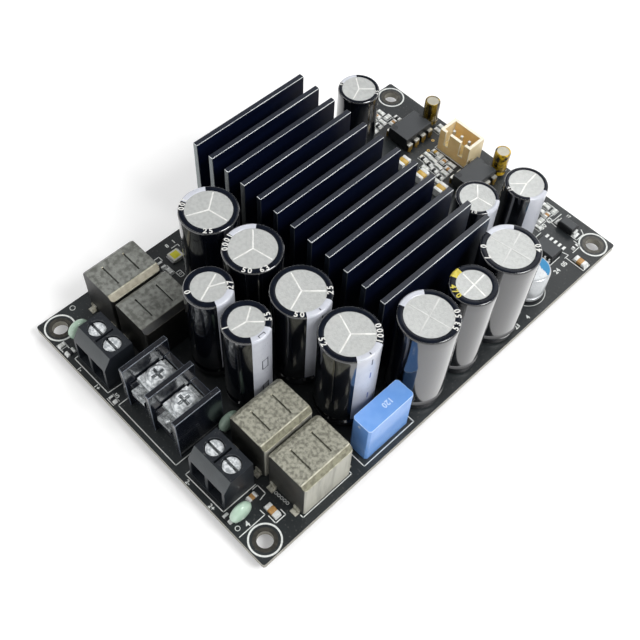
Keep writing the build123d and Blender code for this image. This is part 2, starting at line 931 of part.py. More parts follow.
def make_barrier_tabs():
    """Plated tabs under the barrier screws, each with a turned-down lip and a leg through the board."""
    tabs = []
    low = board_top + barrier_base_height
    high = low + tab_thickness
    for x in barrier_centres.values():
        half = tab_width / 2
        lip = tab_lip_width / 2
        tail = tab_tail_width / 2
        base_front = barrier_front + barrier_setback
        lip_back = base_front - cage_clearance
        tab = block(x - half, x + half, base_front, tab_tail_y() + tab_thickness / 2, low, high)
        tab += block(x - lip, x + lip, lip_back - tab_thickness, base_front, low, high)
        tab += block(x - lip, x + lip, lip_back - tab_thickness, lip_back, low - tab_lip_drop, high)
        tab += block(
            x - tail, x + tail, tab_tail_y() - tab_thickness / 2, tab_tail_y() + tab_thickness / 2, 0, high,
        )
        tab -= upright(x, barrier_screw_y, low, high, barrier_screw_radius + thread_clearance)
        tabs.append(tab)
    return group(tabs)


def make_barrier_washer(x):
    """Square washer held under a barrier screw."""
    low = board_top + barrier_base_height + tab_thickness
    high = low + washer_thickness
    half = washer_size / 2
    body = block(x - half, x + half, barrier_screw_y - half, barrier_screw_y + half, low, high)
    return body - upright(x, barrier_screw_y, low, high, barrier_screw_radius + thread_clearance)


def make_barrier_screw(x):
    """Pan-head screw of the barrier strip."""
    seat = board_top + barrier_base_height + tab_thickness + washer_thickness
    top = seat + barrier_head_height
    tip = seat - barrier_screw_length
    r = barrier_head_radius
    screw = turned(x, barrier_screw_y, [
        (0, tip), (barrier_screw_radius, tip), (barrier_screw_radius, seat), (r, seat),
        (r, top - barrier_head_rim), (r - barrier_head_slope, top), (0, top),
    ])
    return screw - driver_cross(x, barrier_screw_y, top - screw_recess_depth, top)


def make_header_housing():
    """Open-topped input connector with two slots in its front wall."""
    z = board_top
    half = header_width / 2
    body = block(header_x - half, header_x + half, header_front, header_back, z, z + header_height)
    body -= block(
        header_x - half + header_wall, header_x + half - header_wall, header_front + header_wall,
        header_back - header_wall, z + header_floor, z + header_height,
    )
    slot = header_slot_width / 2
    slot_low = z + header_height - header_slot_depth
    slot_back = header_front + header_wall
    for offset in row(2, header_slot_spacing):
        x = header_x + offset
        body -= block(x - slot, x + slot, header_front, slot_back, slot_low, z + header_height)
    reach = header_pin_size / 2 + thread_clearance
    for x, y in header_pin_places():
        body -= block(x - reach, x + reach, y - reach, y + reach, z, z + header_floor)
    return body


def make_header_pins():
    """Square pins of the input connector."""
    half = header_pin_size / 2
    top = board_top + header_pin_rise
    return group([block(x - half, x + half, y - half, y + half, 0, top) for x, y in header_pin_places()])


def make_film_capacitor():
    """Blue box of the film capacitor."""
    half = film_width / 2
    body = block(film_x - half, film_x + half, film_front, film_back, board_top, board_top + film_height)
    return chamfer(body.edges().filter_by(Axis.Z), film_edge_radius)


def make_disc_capacitors():
    """Dipped discs standing on edge, each with its face towards the side."""
    discs = []
    radius = disc_diameter / 2
    half = disc_thickness / 2
    steps = [math.pi * step / (2 * disc_facets) for step in range(2 * disc_facets + 1)]
    outline = [(half * math.cos(angle), radius * math.sin(angle)) for angle in steps]
    for x, y in disc_places:
        profile = make_face(Plane.XY * Polyline(*outline, close=True))
        middle = board_top + disc_stand + radius
        discs.append(Pos(x, y, middle) * revolve(profile, Axis.X))
    return group(discs)


def make_dip_body(x, y):
    """Eight-pin chip body with a half-round notch at its back end."""
    low = board_top + dip_stand
    top = low + dip_body_height
    half_x = dip_body_width / 2
    half_y = dip_body_length / 2
    body = block(x - half_x, x + half_x, y - half_y, y + half_y, low, top)
    body = chamfer(body.faces().sort_by(Axis.Z)[-1].edges().filter_by(Axis.Y), chip_bevel)
    return body - upright(x, y + half_y, top - dip_notch_depth, top, dip_notch_radius)


def make_dip_leads():
    """Formed pins of the eight-pin chips."""
    pins = []
    t = dip_strip_thickness / 2
    bend_low = board_top + dip_bend_rise
    shoulder = board_top + dip_stand + dip_body_height / 2 + t
    for x, y, side in dip_pin_places():
        wide = dip_shoulder_width / 2
        thin = dip_tail_width / 2
        ends = sorted((x - side * (dip_row_spacing - dip_body_width) / 2, x + side * t))
        pin = block(*ends, y - wide, y + wide, shoulder - 2 * t, shoulder)
        pin += block(x - t, x + t, y - wide, y + wide, bend_low, shoulder)
        pin += block(x - t, x + t, y - thin, y + thin, 0, bend_low)
        pins.append(pin)
    return group(pins)


def make_small_chip():
    """Surface-mounted chip near the back right corner, body and leads."""
    body = chip_body(small_chip_x, small_chip_y, small_body_length, small_body_width, small_body_height)
    leads = gull_leads(
        small_chip_x, small_chip_y, small_body_width, small_body_height,
        small_pins_per_side, small_pitch, small_lead_width,
    )
    return group([body] + leads)


def make_diode():
    """Moulded diode with its two end tabs."""
    x = right_edge - diode_side_inset
    y = back_edge - diode_back_inset
    half = diode_length / 2
    body = chip_body(x, y, diode_length, diode_width, diode_height)
    tab_y = diode_tab_width / 2
    tabs = [
        block(left, left + diode_tab_reach, y - tab_y, y + tab_y, board_top, board_top + diode_tab_height)
        for left in (x - half - diode_tab_reach, x + half)
    ]
    return group([body] + tabs)


def make_led():
    """Power light: a white body with a round window."""
    x = left_edge + led_side_inset
    half_x = led_width / 2
    half_y = led_length / 2
    top = board_top + led_height
    body = block(x - half_x, x + half_x, led_y - half_y, led_y + half_y, board_top, top)
    return body - upright(x, led_y, top - led_window_depth, top, led_window_radius)


@dataclass(frozen=True)
class ChipPlace:
    """A two-ended chip part: its middle, its (length, width, height) and whether it lies along Y."""

    x: float
    y: float
    size: tuple
    along_y: bool = False


def inset_place(insets, side, end, size, along_y=False):
    """Chip part at distances in from the side (-1 left, 1 right) and from the end (-1 front, 1 back)."""
    from_side, from_end = insets
    x = side * (right_edge - from_side)
    return ChipPlace(x, end * (back_edge - from_end), size, along_y)


def chip_capacitor_places():
    """Tan chip capacitors beside the right terminal and near the back right corner."""
    return [
        inset_place(disc_chip_insets, 1, -1, chip_0805, True),
        inset_place(choke_chip_insets, 1, -1, chip_1206),
        inset_place(polymer_chip_insets, 1, 1, chip_1206),
    ]


def chip_resistor_places():
    """Chip resistors along the edges."""
    return [
        ChipPlace(left_edge + led_resistor_inset, led_y - led_resistor_step, chip_0805),
        inset_place(diode_resistor_insets, 1, 1, chip_0603, True),
        inset_place(left_corner_resistor_insets, -1, -1, chip_0805, True),
        inset_place(right_corner_resistor_insets, 1, -1, chip_0805),
    ]


def make_chips(places):
    """Two-ended chip parts as plain blocks."""
    chips = []
    for place in places:
        length, width, height = place.size
        chip = Box(length, width, height, align=STAND)
        turn = 90 if place.along_y else 0
        chips.append(Pos(place.x, place.y, board_top) * Rot(0, 0, turn) * chip)
    return group(chips)


def build_nodes():
    """Every node of the board by its name."""
    nodes = {
        "circuit_board": make_board(),
        "heatsink": make_heatsink(),
        "heatsink_screws": make_heatsink_screws(),
        "thermal_pad": make_thermal_pad(),
        "amplifier_chip": make_amplifier_chip(),
        "amplifier_chip_leads": make_amplifier_chip_leads(),
        "large_can_sleeves": make_sleeves(True),
        "small_can_sleeves": make_sleeves(False),
        "can_bungs": make_can_bungs(),
        "component_leads": make_component_leads(),
        "polymer_can": make_polymer_can(),
        "polymer_can_base": make_polymer_base(),
        "bypass_cans": make_bypass_cans(),
        "bypass_can_sleeves": make_bypass_sleeves(),
        "choke_feet": make_choke_feet(),
        "terminal_contacts": make_terminal_contacts(),
        "barrier_housing": make_barrier_housing(),
        "barrier_tabs": make_barrier_tabs(),
        "header_housing": make_header_housing(),
        "header_pins": make_header_pins(),
        "film_capacitor": make_film_capacitor(),
        "disc_capacitors": make_disc_capacitors(),
        "preamp_chip_leads": make_dip_leads(),
        "driver_chip": make_small_chip(),
        "rectifier_diode": make_diode(),
        "power_light": make_led(),
        "chip_capacitors": make_chips(chip_capacitor_places()),
        "chip_resistors": make_chips(chip_resistor_places()),
    }
    for can in can_places():
        nodes[can.name] = make_can(can)
    for number, x in enumerate(choke_centres, start=1):
        nodes[f"choke_{number}"] = make_choke(x)
    for side, (x, y) in zip(("left", "right"), preamp_places):
        nodes[f"{side}_preamp_chip"] = make_dip_body(x, y)
    for side, x in terminal_centres.items():
        nodes[f"{side}_terminal_housing"] = make_terminal_housing(x)
    for name, x in pole_places():
        nodes[f"{name}_cage"] = make_cage(x)
        nodes[f"{name}_screw"] = make_terminal_screw(x)
    for side, x in barrier_centres.items():
        nodes[f"barrier_washer_{side}"] = make_barrier_washer(x)
        nodes[f"barrier_screw_{side}"] = make_barrier_screw(x)
    return nodes


os.makedirs("parts", exist_ok=True)
for node_name, shape in build_nodes().items():
    export_step(shape, f"parts/{node_name}.step")
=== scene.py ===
import logging
import math
from dataclasses import dataclass, field
from enum import Enum
from functools import partial
from typing import Callable, Iterable, Optional, Sequence

import bmesh
import bpy
from mathutils import Matrix, Vector


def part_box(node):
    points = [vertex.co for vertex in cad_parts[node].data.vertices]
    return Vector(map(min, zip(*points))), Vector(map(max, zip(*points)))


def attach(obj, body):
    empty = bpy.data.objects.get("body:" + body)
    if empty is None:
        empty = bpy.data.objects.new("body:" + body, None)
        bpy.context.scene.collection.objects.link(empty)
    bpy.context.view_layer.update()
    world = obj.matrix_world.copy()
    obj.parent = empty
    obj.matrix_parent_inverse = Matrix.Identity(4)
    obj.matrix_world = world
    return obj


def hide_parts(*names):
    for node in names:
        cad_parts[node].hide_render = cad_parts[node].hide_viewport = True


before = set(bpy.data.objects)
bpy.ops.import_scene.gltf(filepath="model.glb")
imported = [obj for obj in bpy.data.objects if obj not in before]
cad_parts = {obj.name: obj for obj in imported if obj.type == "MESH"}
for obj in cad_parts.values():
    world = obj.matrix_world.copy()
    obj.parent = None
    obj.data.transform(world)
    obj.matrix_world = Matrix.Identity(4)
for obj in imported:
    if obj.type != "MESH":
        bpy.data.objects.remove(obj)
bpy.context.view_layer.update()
LOG = logging.getLogger("amplifier_board")

# Sizes in this file are in millimetres, turned into metres as a piece is finished. Angles are in degrees.
MM = 0.001
# Corners closer than this become one: in a copy or a figure, and at the seam of a revolved form
JOIN_DISTANCE = 1e-4
SEAM_DISTANCE = 1e-5
# Faces that differ less than this are joined, and edges between faces that differ more show as sharp
FLAT_ANGLE = 1.5
SHARP_ANGLE = 38
# How much the larger faces decide the shading beside a rounded edge
FACE_WEIGHT = 90
GROOVE_STEPS = 8
# The font's size for figures one unit high, and how much bolder than the font they are
FIGURE_SCALE = 1.35
FIGURE_WEIGHT = 0.035
DUST_COLOUR = (0.42, 0.41, 0.38, 1)
SPECK_SCALE = 1900.0

Point = tuple[float, float, float]
Place = tuple[float, float]
Colour = tuple[float, float, float]
Box = tuple[Vector, Vector]
Mesh = bmesh.types.BMesh
Face = bmesh.types.BMFace
Socket = bpy.types.NodeSocket


def hex_colour(code: str) -> Colour:
    """Turns a colour as seen on a screen, such as "#2b2f31", into linear values.

    Args:
        code: The colour, as a hash and six hexadecimal digits.

    Returns:
        The red, green and blue, each from 0 to 1.
    """
    parts = [int(code[i:i + 2], 16) / 255 for i in (1, 3, 5)]
    red, green, blue = (p / 12.92 if p <= 0.04045 else ((p + 0.055) / 1.055) ** 2.4 for p in parts)
    return red, green, blue


def cad_box(node: str) -> Box:
    """Gives the lowest and highest corners of a CAD node, in millimetres.

    Args:
        node: The name of the node.

    Returns:
        The two corners.
    """
    low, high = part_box(node)
    return low / MM, high / MM


def middle_of(low: Vector, high: Vector) -> Place:
    """Gives the middle of a box along X and Y."""
    return (low.x + high.x) / 2, (low.y + high.y) / 2


BOARD_LOW, BOARD_HIGH = cad_box("circuit_board")
TOP = BOARD_HIGH.z
UNDER = BOARD_LOW.z


def cad_copy(node: str) -> Mesh:
    """Copies a CAD node's mesh in millimetres, with its triangles joined into flat faces.

    Args:
        node: The name of the node.

    Returns:
        The copy.
    """
    part = bmesh.new()
    part.from_mesh(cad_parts[node].data)
    bmesh.ops.scale(part, vec=(1 / MM, 1 / MM, 1 / MM), verts=part.verts)
    bmesh.ops.remove_doubles(part, verts=part.verts, dist=JOIN_DISTANCE)
    limit = math.radians(FLAT_ANGLE)
    bmesh.ops.dissolve_limit(part, angle_limit=limit, verts=part.verts, edges=part.edges)
    return part


def solids(part: Mesh) -> list[tuple[list[Face], Box]]:
    """Finds the separate solids of a mesh.

    Args:
        part: The mesh.

    Returns:
        The faces of each solid with its lowest and highest corners, from left to right.
    """
    seen: set[Face] = set()
    found = []
    for start in part.faces:
        if start in seen:
            continue
        seen.add(start)
        stack, faces = [start], []
        while stack:
            face = stack.pop()
            faces.append(face)
            for corner in face.verts:
                for other in corner.link_faces:
                    if other not in seen:
                        seen.add(other)
                        stack.append(other)
        places = [corner.co for face in faces for corner in face.verts]
        low = Vector([min(p[i] for p in places) for i in range(3)])
        high = Vector([max(p[i] for p in places) for i in range(3)])
        found.append((faces, (low, high)))
    return sorted(found, key=lambda item: (round(item[1][0].x, 2), round(item[1][0].y, 2)))


def islands(node: str) -> list[Box]:
    """Gives the corners of each separate solid of a CAD node.

    Args:
        node: The name of the node.

    Returns:
        The lowest and highest corners of each, from left to right.
    """
    part = cad_copy(node)
    boxes = [box for _, box in solids(part)]
    part.free()
    return boxes


# Finishes


class Wiring:
    """Adds and joins the nodes of one node tree."""

    def __init__(self, tree: bpy.types.NodeTree) -> None:
        """Keeps the tree to add to."""
        self.tree = tree

    def add(self, kind: str, values: Optional[dict[object, object]] = None, **settings: object) -> bpy.types.Node:
        """Adds a node.

        Args:
            kind: The node's type.
            values: The inputs to set, as for fill.
            settings: The node's own settings.

        Returns:
            The node.
        """
        node = self.tree.nodes.new(kind)
        for key, value in settings.items():
            setattr(node, key, value)
        self.fill(node, values or {})
        return node

    def fill(self, node: bpy.types.Node, values: dict[object, object]) -> None:
        """Sets inputs of a node.

        Args:
            node: The node.
            values: The inputs to set, by name or number; a socket given as value is linked.
        """
        for key, value in values.items():
            if isinstance(value, Socket):
                self.tree.links.new(value, node.inputs[key])
            else:
                node.inputs[key].default_value = value

    def math(self, operation: str, first: object, second: object = 0.0, clamp: bool = True) -> Socket:
        """Adds a sum and returns its result."""
        return self.add("ShaderNodeMath", {0: first, 1: second}, operation=operation, use_clamp=clamp).outputs[0]

    def mix(self, share: object, first: object, second: object) -> Socket:
        """Adds a mix of two colours and returns its result."""
        node = self.add("ShaderNodeMix", {0: share, 6: first, 7: second}, data_type="RGBA")
        return node.outputs[2]

    def spread(self, value: object, low: float, high: float) -> Socket:
        """Adds a smooth step from 0 at low to 1 at high and returns its result."""
        node = self.add("ShaderNodeMapRange", {0: value, 1: low, 2: high}, interpolation_type="SMOOTHSTEP")
        return node.outputs[0]


def patch_group() -> bpy.types.NodeTree:
    """Builds the node group of patches, grain and dust that the finishes share.

    Returns:
        The group, with the outputs Colour, Roughness and Height.
    """
    group = bpy.data.node_groups.new("patches_grain_dust", "ShaderNodeTree")
    number, shade = "NodeSocketFloat", "NodeSocketColor"
    for label, kind, value in (
        ("Colour", shade, (0.5, 0.5, 0.5, 1)), ("Patch colour", shade, (0.4, 0.4, 0.4, 1)),
        ("Patches", number, 0.5), ("Patch size", number, 300.0), ("Grain size", number, 3000.0),
        ("Stretch", "NodeSocketVector", (1, 1, 1)), ("Roughness", number, 0.5),
        ("Roughness spread", number, 0.1), ("Dust", number, 0.0),
    ):
        group.interface.new_socket(label, in_out="INPUT", socket_type=kind).default_value = value
    for label, kind in (("Colour", shade), ("Roughness", number), ("Height", number)):
        group.interface.new_socket(label, in_out="OUTPUT", socket_type=kind)
    given = group.nodes.new("NodeGroupInput").outputs
    results = group.nodes.new("NodeGroupOutput")
    wiring = Wiring(group)
    place = wiring.add("ShaderNodeTexCoord").outputs["Object"]
    stretched = wiring.add("ShaderNodeVectorMath", {0: place, 1: given["Stretch"]}, operation="MULTIPLY").outputs[0]
    patches = wiring.add("ShaderNodeTexNoise", {"Vector": stretched, "Scale": given["Patch size"], "Detail": 3.0})
    grain = wiring.add("ShaderNodeTexNoise", {"Vector": stretched, "Scale": given["Grain size"], "Detail": 2.0})
    share = wiring.math("MULTIPLY", wiring.spread(patches.outputs["Fac"], 0.38, 0.66), given["Patches"])
    patched = wiring.mix(share, given["Colour"], given["Patch colour"])
    normal = wiring.add("ShaderNodeTexCoord").outputs["Normal"]
    upward = wiring.add("ShaderNodeSeparateXYZ", {0: normal}).outputs[2]
    specks = wiring.add("ShaderNodeTexNoise", {"Vector": place, "Scale": SPECK_SCALE, "Detail": 2.0})
    dusty = wiring.math("MULTIPLY", wiring.spread(specks.outputs["Fac"], 0.6, 0.75), wiring.spread(upward, 0.4, 0.95))
    dusted = wiring.math("MULTIPLY", dusty, given["Dust"])
    colour = wiring.mix(dusted, patched, DUST_COLOUR)
    offset = wiring.math("SUBTRACT", grain.outputs["Fac"], 0.5, False)
    swing = wiring.math("MULTIPLY", offset, given["Roughness spread"], False)
    rough = wiring.math("ADD", wiring.math("ADD", given["Roughness"], swing), wiring.math("MULTIPLY", dusted, 0.4))
    wiring.fill(results, {"Colour": colour, "Roughness": rough, "Height": grain.outputs["Fac"]})
    return group


PATCHES = patch_group()
MATERIALS: dict[str, bpy.types.Material] = {}


@dataclass(frozen=True)
class Finish:
    """A surface with patches of a second colour, fine grain and dust.

    Attributes:
        name: The name of the material.
        colour: The main colour, as seen on a screen.
        patch: The colour of the patches.
        patches: How strongly the patches show.
        patch_size: How fine the patches are, as a noise scale per metre.
        grain_size: How fine the grain is, as a noise scale per metre.
        grain_depth: The depth of the grain, in metres.
        stretch: How the noise is scaled along each axis.
        roughness: The middle roughness.
        roughness_spread: How much the roughness varies.
        metallic: 1 for metal.
        coat: The weight of a clear coat.
        coat_roughness: The roughness of that coat.
        specular: The strength of the reflection, 0.5 for plain plastic.
        dust: How much dust lies on faces that look up.
    """

    name: str
    colour: str
    patch: str = ""
    patches: float = 0.5
    patch_size: float = 900.0
    grain_size: float = 3000.0
    grain_depth: float = 0.00002
    stretch: Point = (1.0, 1.0, 1.0)
    roughness: float = 0.35
    roughness_spread: float = 0.15
    metallic: float = 0.0
    coat: float = 0.0
    coat_roughness: float = 0.08
    specular: float = 0.5
    dust: float = 0.0

    def material(self) -> bpy.types.Material:
        """Builds the material, or gives the one that is there already.

        Returns:
            The material.
        """
        if self.name in MATERIALS:
            return MATERIALS[self.name]
        made = bpy.data.materials.new(f"{self.name}_finish")
        MATERIALS[self.name] = made
        made.use_nodes = True
        wiring = Wiring(made.node_tree)
        surface = wiring.add("ShaderNodeGroup", {
            "Colour": (*hex_colour(self.colour), 1), "Patch colour": (*hex_colour(self.patch or self.colour), 1),
            "Patches": self.patches, "Patch size": self.patch_size, "Grain size": self.grain_size,
            "Stretch": self.stretch, "Roughness": self.roughness, "Roughness spread": self.roughness_spread,
            "Dust": self.dust,
        }, node_tree=PATCHES)
        colour = self.tint(wiring, surface.outputs["Colour"])
        bump = wiring.add("ShaderNodeBump", {
            "Strength": 0.6, "Distance": self.grain_depth, "Height": surface.outputs["Height"],
        })
        wiring.fill(made.node_tree.nodes["Principled BSDF"], {
            "Base Color": colour, "Roughness": surface.outputs["Roughness"], "Normal": bump.outputs[0],
            "Metallic": self.metallic, "Coat Weight": self.coat, "Coat Roughness": self.coat_roughness,
            "Specular IOR Level": self.specular,
        })
        return made

    def tint(self, wiring: Wiring, colour: Socket) -> Socket:
        """Changes the colour further; a plain finish leaves it as it is."""
        return colour


class Level(Enum):
    """What a band's levels are measured along: a place, a direction of the face, or its size."""

    PLACE = "place"
    FACING = "facing"
    TILT = "tilt"


@dataclass(frozen=True)
class BandedFinish(Finish):
    """A finish with another colour between two levels along one axis.

    Attributes:
        band: The colour of the band.
        axis: The axis that the levels are along, 0 to 2.
        low: Where the band starts, in millimetres for a place.
        high: Where it is full.
        level: What the levels are of.
    """

    band: str = "#ffffff"
    axis: int = 2
    low: float = 0.7
    high: float = 0.95
    level: Level = Level.FACING

    def tint(self, wiring: Wiring, colour: Socket) -> Socket:
        """Mixes the band's colour in.

        Args:
            wiring: The material's nodes.
            colour: The colour so far.

        Returns:
            The colour with the band.
        """
        source = wiring.add("ShaderNodeTexCoord").outputs["Object" if self.level is Level.PLACE else "Normal"]
        amount = wiring.add("ShaderNodeSeparateXYZ", {0: source}).outputs[self.axis]
        if self.level is Level.TILT:
            amount = wiring.math("ABSOLUTE", amount)
        scale = MM if self.level is Level.PLACE else 1.0
        share = wiring.spread(amount, self.low * scale, self.high * scale)
        return wiring.mix(share, colour, (*hex_colour(self.band), 1))


MASK = BandedFinish(
    "solder_mask", "#1e2224", "#2b3032", patches=0.6, patch_size=70, grain_size=5200, grain_depth=0.00003,
    roughness=0.4, specular=0.45, dust=0.12, band="#8a877c", low=0.6, high=0.2, level=Level.TILT,
)
SILK = Finish("printed_white", "#dfe2df", "#b9bdbb", patch_size=1500, roughness=0.6)
PAD = Finish("tinned_pad", "#403f3b", "#5f5c54", patch_size=1200, grain_size=2500, metallic=0.5)
SOLDER = Finish("solder", "#b9babb", "#8f9294", grain_size=2500, roughness=0.28, metallic=0.85)
TINNED = Finish("tinned_lead", "#c3c4c0", "#98999a", patch_size=800, roughness=0.3, metallic=0.7)
PART_END = Finish("bright_part_end", "#e4e6e4", "#b7bab8", patch_size=1300, metallic=0.2)
DULL_TIN = Finish(
    "dull_tin", "#d3d1c4", "#7f7c6c", patches=0.8, patch_size=1300, grain_depth=0.0001, roughness=0.32,
    metallic=0.4,
)
GILT = Finish("gilt_pad", "#d2b066", "#b08e46", metallic=0.6)
DIP_PIN = BandedFinish(
    "two_tone_pin", "#b29044", "#8f7434", roughness=0.32, metallic=0.6, band="#dad9d0", low=5.2, high=5.9,
    level=Level.PLACE,
)
# Black anodised aluminium; the lighter band on faces that look up is painted light on the fin tops
ANODISED = BandedFinish(
    "black_anodised", "#050a1d", "#0a122b", patches=0.6, patch_size=120, grain_size=1500,
    grain_depth=0.000002, stretch=(6, 0.5, 6), roughness=0.32, roughness_spread=0.08, specular=0.55,
    dust=0.12, band="#0f1625",
)
# Painted highlight: a near-white line on the rounded fin tops that face the light
FIN_HIGHLIGHT = Finish(
    "fin_edge_painted_highlight", "#f2f5f6", "#7d8488", patches=0.6, patch_size=420, stretch=(1, 0.3, 1), metallic=0.1,
)
# Front end faces of the fins; the band is painted light, lighter grey towards the left fins
FIN_END = BandedFinish(
    "fin_end", "#0b1018", "#141a22", patches=0.6, patch_size=200, stretch=(1, 1, 0.3), roughness=0.4,
    specular=0.3, band="#8f9798", axis=0, low=-14, high=-36, level=Level.PLACE,
)
# A dimmer painted edge line on the rounded fin edges that face away from the light
FIN_LINE = Finish(
    "dim_fin_edge", "#33383c", "#181c20", patches=0.7, patch_size=300.0, stretch=(1, 0.3, 1), roughness=0.4,
    specular=0.3,
)
CAN_TOP = Finish(
    "can_aluminium", "#c1c3c1", "#adafae", patch_size=1400, grain_size=4200, grain_depth=0.00009,
    roughness=0.42, roughness_spread=0.3, metallic=0.35, dust=0.1,
)
SCORE = Finish("score_line", "#ecece9", "#cfcfcc", metallic=0.2)
FAINT_SCORE = Finish("faint_score_line", "#cfd0ce", "#bcbdbb", roughness=0.4, metallic=0.2)
SLEEVE = Finish(
    "black_sleeve", "#05070d", "#0a0d16", patches=0.4, patch_size=200, grain_size=900, grain_depth=0.000006,
    roughness=0.14, roughness_spread=0.05, coat=1.0, coat_roughness=0.06, specular=0.9,
)
LIP = Finish(
    "sleeve_lip", "#080d18", "#101724", patch_size=500, roughness=0.24, coat=0.08, coat_roughness=0.12,
    specular=0.15,
)
STRIPE = Finish(
    "stripe_print", "#bfc2cb", "#cbced6", patches=0.4, patch_size=500, roughness=0.3, coat=0.4,
    coat_roughness=0.1,
)
RIM_PRINT = Finish("rim_print", "#dcdcd8", "#bcbcb8", patch_size=1800, roughness=0.4, coat=0.4)
YELLOW_PRINT = Finish("yellow_print", "#c9b93c", "#a39530", patch_size=1500, roughness=0.4, coat=0.4)
DARK_PRINT = Finish("dark_print", "#20222c", "#2c2e3a", patch_size=1500, coat=0.4)
BLUE_MARK = Finish("blue_dash", "#40549c", "#34468a", patch_size=1500, coat=0.4)
RUBBER = Finish("black_rubber", "#131417", "#1c1e22", patch_size=300.0, roughness=0.7, specular=0.3)
# Painted reflection: dark and gold vertical streaks stand in for the surroundings mirrored in the shiny sleeve
GOLD_SLEEVE = Finish(
    "gold_sleeve", "#a08420", "#0b0902", patches=1.0, patch_size=700, stretch=(1.6, 1.6, 0.2), roughness=0.14,
    metallic=0.7, coat=0.6, coat_roughness=0.06,
)
YELLOW_SLEEVE = Finish(
    "yellow_sleeve", "#cfa91c", "#1d1908", patches=1.0, patch_size=760, roughness=0.2, metallic=0.15,
    coat=0.8,
)
SMALL_TOP = Finish("small_can_top", "#a8a495", "#bcb8aa", roughness=0.4, metallic=0.5)
FERRITE = Finish(
    "ferrite_top", "#9a998b", "#56554b", patches=0.75, patch_size=1350, grain_size=4200, grain_depth=0.00009,
    roughness=0.5, roughness_spread=0.3, specular=0.45, dust=0.3,
)
FERRITE_STRIP = Finish(
    "ferrite_bevel", "#85836f", "#5f5d4e", patches=0.8, patch_size=1100, grain_size=4200, roughness=0.5,
    specular=0.4,
)
# Painted highlight on the pale bevel edges, then painted light on the right sides and painted shade on the other
# sides of blocks 3 and 4
FERRITE_LIT_LINE = Finish("ferrite_edge_painted_highlight", "#bdbaa8", "#87846f", patches=0.8, roughness=0.5)
FERRITE_LIT_SIDE = Finish(
    "ferrite_side", "#abaa9f", "#84837a", patches=0.7, patch_size=300.0, grain_size=3600,
    stretch=(1, 2.2, 0.25), roughness=0.5, specular=0.4,
)
FERRITE_SHADE_SIDE = Finish("ferrite_painted_shade_side", "#222220", "#30302d", patches=0.6, patch_size=220, roughness=0.5)
OLD_FERRITE = Finish(
    "dark_ferrite_top", "#7b7d78", "#4f504b", patches=0.8, grain_size=4200, grain_depth=0.00007,
    roughness=0.5, roughness_spread=0.25, specular=0.4, dust=0.25,
)
# Block 1's bevel with painted light, block 2's bevel and edges with painted shade, and painted shade on the sides of
# blocks 1 and 2
OLD_LIT_STRIP = Finish(
    "lit_ferrite_bevel", "#a09a88", "#857f6d", patches=0.7, patch_size=700, grain_size=4200, roughness=0.45,
)
SHADED_STRIP = Finish("choke_two_bevel_painted_shade", "#17181b", "#24241f", patches=0.7, patch_size=700, roughness=0.45)
OLD_SHADE_SIDE = Finish("pair_one_side_painted_shade", "#141413", "#201f1d", patches=0.6, patch_size=260, roughness=0.45)
SHADED_LINE = Finish("choke_two_edge_painted_shade", "#56544d", "#3b3a35", patches=0.6, patch_size=700, roughness=0.45)
MOULDED = Finish(
    "grey_black_plastic", "#191d23", "#21262c", patch_size=350, grain_size=3800, grain_depth=0.00003,
    roughness=0.36, dust=0.1,
)
# Painted reflection: the terminals' front slopes lighter, as if mirroring the pale floor in front
MOULDED_SLOPE_SHEEN = Finish(
    "plastic_slope_painted_reflection", "#363b3e", "#42484b", patch_size=300.0, grain_size=3800, grain_depth=0.00003,
)
# Painted highlight: lighter colour on the upper rounded edges of the terminal housings
MOULDED_HIGHLIGHT = Finish("plastic_edge", "#4a4e50", "#33373a", patches=0.6, patch_size=600, roughness=0.3)
GLOSSY = Finish(
    "glossy_black_plastic", "#0e1119", "#171b24", patch_size=300.0, grain_size=2600, roughness=0.22,
    roughness_spread=0.08, coat=0.5, coat_roughness=0.12, specular=0.6, dust=0.06,
)
# Painted highlight: lighter colour on the upper rounded edges of the glossy black housing
GLOSSY_HIGHLIGHT = Finish("black_edge_painted_highlight", "#59606a", "#31363f", patches=0.6, patch_size=500, roughness=0.25)
NICKEL = Finish(
    "bright_nickel", "#f4f8fa", "#8f969b", patches=0.75, patch_size=1500, grain_size=2000,
    grain_depth=0.00016, roughness=0.22, roughness_spread=0.25, metallic=0.22, specular=0.8,
)
# Painted shade: dark colour in the recess of a screw's slot
SLOT_SHADE = Finish("slot_painted_shade", "#565a5d", "#9aa0a3", patches=0.9, patch_size=1500, metallic=0.3)
PLATED = Finish(
    "plated_strip", "#b4b8b9", "#5f6366", patches=0.85, patch_size=1100, roughness=0.28, metallic=0.5,
)
IVORY = Finish("ivory_nylon", "#eddcb4", "#dcc799", patch_size=500, roughness=0.4, coat=0.2)
# Painted highlight: a whiter copy of the ivory on the rims and rounded edges
IVORY_HIGHLIGHT = Finish("ivory_painted_highlight", "#f0e8d6", "#e2d8bd", patch_size=700, roughness=0.4, coat=0.2)
# Painted light: a brighter copy of the ivory on the faces that look to the front
IVORY_LIT_FRONT = Finish("ivory_front_painted_light", "#fcd894", "#eec27c", patch_size=400, roughness=0.42)
AMBER = Finish("amber_nylon", "#fbe8a8", "#eed78c", patch_size=500, roughness=0.45)
FILM = Finish(
    "blue_box", "#6a9ce0", "#7eaae8", patch_size=300.0, grain_size=2600, roughness=0.32, coat=0.3,
    coat_roughness=0.15,
)
# Pale blue for the print, and as painted highlight on the top rounded edges of the box
FILM_EDGE = Finish("blue_box_edge", "#c0d6f5", "#a5c4f0", patch_size=700)
MINT = Finish("mint_dip", "#a9c4b0", "#bfd4c6", patch_size=600, grain_size=1500, roughness=0.16, coat=0.6)
